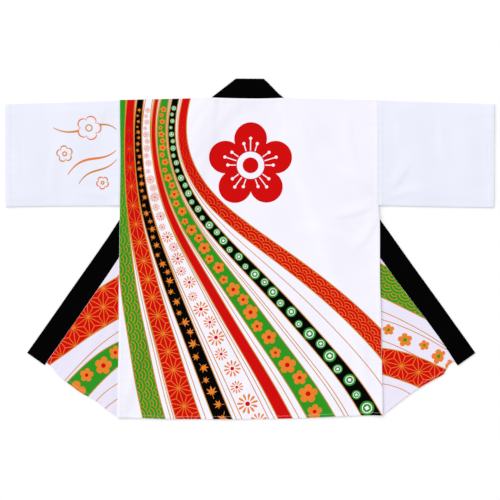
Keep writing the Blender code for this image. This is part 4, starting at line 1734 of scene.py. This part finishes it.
# %% Collar band
# Distance from the free edge, and height as a share of the band's thickness.
BAND_PROFILE = (
    (0.0000, 0.45), (0.0003, 0.64), (0.0010, 0.80), (0.0022, 0.87), (0.0060, 0.90), (0.0140, 0.88),
    (0.0260, 0.86), (0.0380, 0.90), (0.0430, 0.97), (0.0480, 1.00), (0.0520, 0.99), (0.0538, 0.93),
    (0.0546, 0.80), (0.0554, 0.90), (0.0562, 0.84), (0.0567, 0.68), (0.0570, 0.45),
)
profile = np.array(BAND_PROFILE)
cloth = Cloth()
rows = []
for free_point, sewn_point, ease in zip(band_free, band_sewn, easing):
    spots = free_point + (sewn_point - free_point) * (profile[:, :1] / COLLAR_WIDTH)
    top = np.column_stack((spots, profile[:, 1] * COLLAR_THICK * ease))
    underneath = np.column_stack((spots[::-1], np.zeros(len(spots))))
    rows.append(cloth.place(np.vstack((top, underneath[1:-1]))))
for first, second in zip(rows, rows[1:]):
    cloth.bridge(first, second, closed=True)
# Each end is closed by faces between its top and its underside.
count = len(profile)
for row in (rows[0], rows[-1]):
    top = row[:count]
    underneath = np.concatenate(([row[0]], row[count:][::-1], [row[count - 1]]))
    cloth.add([(top[0], top[1], underneath[1])])
    cloth.bridge(top[1:-1], underneath[1:-1])
    cloth.add([(top[-2], top[-1], underneath[-2])])
collar = cloth.make("collar_cloth", [BLACK_COTTON])

# %% [markdown]
# ## Stitches by Geometry Nodes
#
# Hems and the band are held by rows of machine stitches, about 3 mm long. Each row is a line on the
# cloth, and Geometry Nodes set one small thread capsule at every pitch along it, turned with the line.
# That keeps the rows easy to move, and a real thread for every stitch catches the light.

# %% The tree of the stitches
STITCH_SOCKETS = (
    ("Pitch", "NodeSocketFloat"), ("Length", "NodeSocketFloat"), ("Thread", "NodeSocketFloat"),
    ("Material", "NodeSocketMaterial"),
)


def stitch_tree():
    """Turns lines into rows of capsules, with the sizes and the material as inputs."""
    tree = bpy.data.node_groups.new("stitches_on_a_line", "GeometryNodeTree")
    tree.interface.new_socket("Geometry", in_out="INPUT", socket_type="NodeSocketGeometry")
    for name, kind in STITCH_SOCKETS:
        tree.interface.new_socket(name, in_out="INPUT", socket_type=kind)
    tree.interface.new_socket("Geometry", in_out="OUTPUT", socket_type="NodeSocketGeometry")
    given = add_node(tree, "NodeGroupInput").outputs
    line = add_node(tree, "GeometryNodeMeshToCurve", None, {"Mesh": given["Geometry"]}).outputs[0]
    spots = add_node(
        tree, "GeometryNodeCurveToPoints", {"mode": "LENGTH"}, {"Curve": line, "Length": given["Pitch"]}
    ).outputs
    turned = add_node(
        tree, "FunctionNodeAlignRotationToVector", {"axis": "X"}, {"Vector": spots["Tangent"]}
    ).outputs[0]
    bead = add_node(
        tree, "GeometryNodeMeshUVSphere", None, {"Segments": 6, "Rings": 4, "Radius": 0.5}
    ).outputs[0]
    size = add_node(
        tree, "ShaderNodeCombineXYZ", None, {"X": given["Length"], "Y": given["Thread"], "Z": given["Thread"]}
    ).outputs[0]
    placed = add_node(
        tree, "GeometryNodeInstanceOnPoints", None,
        {"Points": spots["Points"], "Instance": bead, "Rotation": turned, "Scale": size},
    ).outputs[0]
    real = add_node(tree, "GeometryNodeRealizeInstances", None, {"Geometry": placed}).outputs[0]
    done = add_node(
        tree, "GeometryNodeSetMaterial", None, {"Geometry": real, "Material": given["Material"]}
    ).outputs[0]
    add_node(tree, "NodeGroupOutput", None, {"Geometry": done})
    return tree


STITCH_TREE = stitch_tree()
print("nodes in the stitch tree:", len(STITCH_TREE.nodes))

# %% [markdown]
# ## Rows of stitches on a piece
#
# The lines of a piece become one mesh of edges, and the tree is its modifier for a moment. Each input is
# set by the socket's identifier, then the result is taken as a plain mesh and the guide is thrown away, so
# that nothing live is left. The thread's twist is too fine to show, so the cloth's own function makes its
# material too.

# %% Rows of stitches
STITCH_PITCH = 0.0030
STITCH_LENGTH = 0.0024
THREAD_WIDTH = 0.00055
# Spun polyester thread, smoother than the cloth, so that a stitch takes a faint glint along its top.
THREADS = {
    "white": cotton("white_sewing_thread", WHITE, roughness=0.7),
    "black": cotton("black_sewing_thread", "#08080A", roughness=0.7),
}


def stitches(name, lines, thread):
    """Stitches along lines of (x, y, z) points, as one mesh."""
    mesh = bpy.data.meshes.new(name + "_lines")
    points, edges = [], []
    for line in lines:
        first = len(points)
        points += [tuple(p) for p in laid(line)]
        edges += [(first + i, first + i + 1) for i in range(len(line) - 1)]
    mesh.from_pydata(points, edges, [])
    guide = bpy.data.objects.new(name + "_guide", mesh)
    bpy.context.scene.collection.objects.link(guide)
    modifier = guide.modifiers.new("stitches", "NODES")
    modifier.node_group = STITCH_TREE
    values = {
        "Pitch": STITCH_PITCH, "Length": STITCH_LENGTH, "Thread": THREAD_WIDTH, "Material": THREADS[thread],
    }
    for item in STITCH_TREE.interface.items_tree:
        if item.name in values:
            modifier[item.identifier] = values[item.name]
    bpy.context.view_layer.update()
    graph = bpy.context.evaluated_depsgraph_get()
    made_mesh = bpy.data.meshes.new_from_object(guide.evaluated_get(graph))
    bpy.data.objects.remove(guide)
    made_mesh.name = name
    made = bpy.data.objects.new(name, made_mesh)
    bpy.context.scene.collection.objects.link(made)
    print(f"{name}: {len(made_mesh.polygons)} faces")
    return made


print("stitches in a metre:", round(1 / STITCH_PITCH))

# %% [markdown]
# ## Where the stitches run
#
# One row holds each hem, another the shoulder's edge beside the neck, and another the armhole seam. The
# band has a row along each of its long edges. A thread lies half sunk in the cloth that it pulls down, so
# each line runs just above the face whose height it takes.

# %% Where the stitches run
THREAD_ABOVE_CLOTH = 0.00005
STITCH_INSET = 0.004
# The row beside the neck: where it starts and ends, and its height up the back.
NECK_ROW = (-0.120, 0.106, 0.3945)
SLEEVE_ROW_INSET = 0.002
SLEEVE_ROW_POINTS = 90
FLAP_ROW_POINTS = 60
# A flap's row stops short of the band and of the side seam's foot.
FLAP_ROW_KEPT = slice(2, -4)
# Distances of the band's two rows from its free edge.
BAND_ROWS = (0.0020, 0.0546)
POINT_STEP = 0.004


def on_cloth(points, height):
    """A line of points set on a cloth's upper face."""
    return np.column_stack((points, height(points) + THREAD_ABOVE_CLOTH))


def level(x_from, x_to, y):
    """Points of a line from left to right."""
    x = np.linspace(x_from, x_to, max(2, int(abs(x_to - x_from) / POINT_STEP)))
    return np.column_stack((x, np.full(len(x), y)))


row_end = BODY_HALF_AT_HEM - STITCH_INSET
back_rows = [on_cloth(level(*row), back_height) for row in ((-row_end, row_end, HEM_Y + BODY_HEM), NECK_ROW)]
back_stitches = stitches("back_stitches", back_rows, "white")

sleeve_stitches = []
for name, side in (("sleeve_left_stitches", -1), ("sleeve_right_stitches", 1)):
    lines = []
    for x in (HALF_SPAN - CUFF_HEM, SLEEVE_START + SEAM_TOPSTITCH):
        low, high = sleeve_limits(x)
        y = np.linspace(low + SLEEVE_ROW_INSET, high - SLEEVE_ROW_INSET, SLEEVE_ROW_POINTS)
        lines.append(on_cloth(np.column_stack((np.full(len(y), side * x), y)), sleeve_height))
    sleeve_stitches.append(stitches(name, lines, "white"))

flap_stitches = []
into_the_flap = plan(TURNED_HEM[1], -TURNED_HEM[0])
for name, side in (("front_left_stitches", -1), ("front_right_stitches", 1)):
    line = (turned_hem(FLAP_ROW_POINTS) + into_the_flap * BODY_HEM)[FLAP_ROW_KEPT]
    height = flap_height(line, line * (-side, 1)) + THREAD_ABOVE_CLOTH
    row = np.column_stack((hitched(line, side) * (-side, 1), height))
    flap_stitches.append(stitches(name, [row], "white"))

collar_lines = []
for from_free in BAND_ROWS:
    spots = band_free + (band_sewn - band_free) * (from_free / COLLAR_WIDTH)
    share = np.interp(from_free, profile[:, 0], profile[:, 1])
    collar_lines.append(np.column_stack((spots, share * COLLAR_THICK * easing)))
collar_stitches = stitches("collar_stitches", collar_lines, "black")

# %% [markdown]
# ## Fastening the pieces to the frame
#
# Every piece, stitches too, rides on the coat's one body, and each cloth stands for its solid, which is
# hidden.


PIECES = (
    (back, "back", "white_cotton"),
    (front_left, "front_left", "white_cotton"),
    (front_right, "front_right", "white_cotton"),
    (sleeve_left, "sleeve_left", "white_cotton"),
    (sleeve_right, "sleeve_right", "white_cotton"),
    (collar, "collar", "black_cotton"),
)
for piece, node, slot in PIECES:
    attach(piece, "root")
    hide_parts(node)
for piece in (back_stitches, *sleeve_stitches, *flap_stitches, collar_stitches):
    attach(piece, "root")

# %% [markdown]
# ## The floor
#
# The photograph is a cut-out on white. A wide sheet of white paper, a little brighter than the cloth, gives
# the same plain ground and still takes the soft shadow along the coat's edges. It lies a hair under the
# coat, so that the two never flicker into each other.

# %% Floor
FLOOR_REACH = 40.0
FLOOR_DROP = 0.0004
PAPER_WHITE = (0.985, 0.985, 0.985, 1)
quarters = ((-1, -1), (1, -1), (1, 1), (-1, 1))
floor_corners = [(x * FLOOR_REACH, y * FLOOR_REACH, -FLOOR_DROP) for x, y in quarters]
floor_mesh = bpy.data.meshes.new("floor")
floor_mesh.from_pydata(floor_corners, [], [(0, 1, 2, 3)])
floor = bpy.data.objects.new("floor", floor_mesh)
bpy.context.scene.collection.objects.link(floor)
# Matt backdrop paper, pressed smooth: an even white with no shine.
paper = bpy.data.materials.new("white_backdrop_paper")
paper.use_nodes = True
paper.node_tree.nodes["Principled BSDF"].inputs["Base Color"].default_value = PAPER_WHITE
paper.node_tree.nodes["Principled BSDF"].inputs["Roughness"].default_value = 0.9
floor_mesh.materials.append(paper)
print("floor", 2 * FLOOR_REACH, "m across")

# %% [markdown]
# ## Light
#
# The coat was lit flat, so that its white nearly meets the paper's. An even white sky does most of it, and
# one broad, low light from the upper left lets the creases show. A small or high light would draw hard
# shadows, or none of the creases at all.

# %% Light
SKY_STRENGTH = 0.61
KEY_STRENGTH = 2.06
KEY_ELEVATION = math.radians(40)
KEY_HEADING = math.radians(135)
KEY_BREADTH = math.radians(75)
world = bpy.data.worlds.new("even_white_sky")
world.use_nodes = True
world.node_tree.nodes["Background"].inputs["Color"].default_value = (1, 1, 1, 1)
world.node_tree.nodes["Background"].inputs["Strength"].default_value = SKY_STRENGTH
bpy.context.scene.world = world
key_data = bpy.data.lights.new("broad_low_key", "SUN")
key_data.energy = KEY_STRENGTH
key_data.angle = KEY_BREADTH
key = bpy.data.objects.new("broad_low_key", key_data)
towards = Vector((
    math.cos(KEY_ELEVATION) * math.cos(KEY_HEADING), math.cos(KEY_ELEVATION) * math.sin(KEY_HEADING),
    math.sin(KEY_ELEVATION),
))
key.rotation_euler = towards.to_track_quat("Z", "Y").to_euler()
bpy.context.scene.collection.objects.link(key)
print("light from", np.round(towards, 2))

# %% [markdown]
# ## Camera
#
# The camera looks straight down, as a coat laid out for sale is photographed. A long lens from high up
# keeps near and far layers at one scale. The lens and the width of the frame give the height.

# %% Camera
FRAME_WIDTH = 1.328
LENS_MM = 85.0
SENSOR_MM = 36.0
CLOTH_LEVEL = 0.002
FRAME_MIDDLE = (-0.0005, -0.0027)
camera_data = bpy.data.cameras.new("straight_down")
camera_data.lens = LENS_MM
camera_data.sensor_width = SENSOR_MM
camera = bpy.data.objects.new("straight_down", camera_data)
camera.location = (*FRAME_MIDDLE, CLOTH_LEVEL + FRAME_WIDTH * LENS_MM / SENSOR_MM)
bpy.context.scene.collection.objects.link(camera)
bpy.context.scene.camera = camera
# The Standard view shows white cloth as white, where the default view would grey it.
bpy.context.scene.view_settings.view_transform = "Standard"
print("camera", round(camera.location.z, 2), "m up")
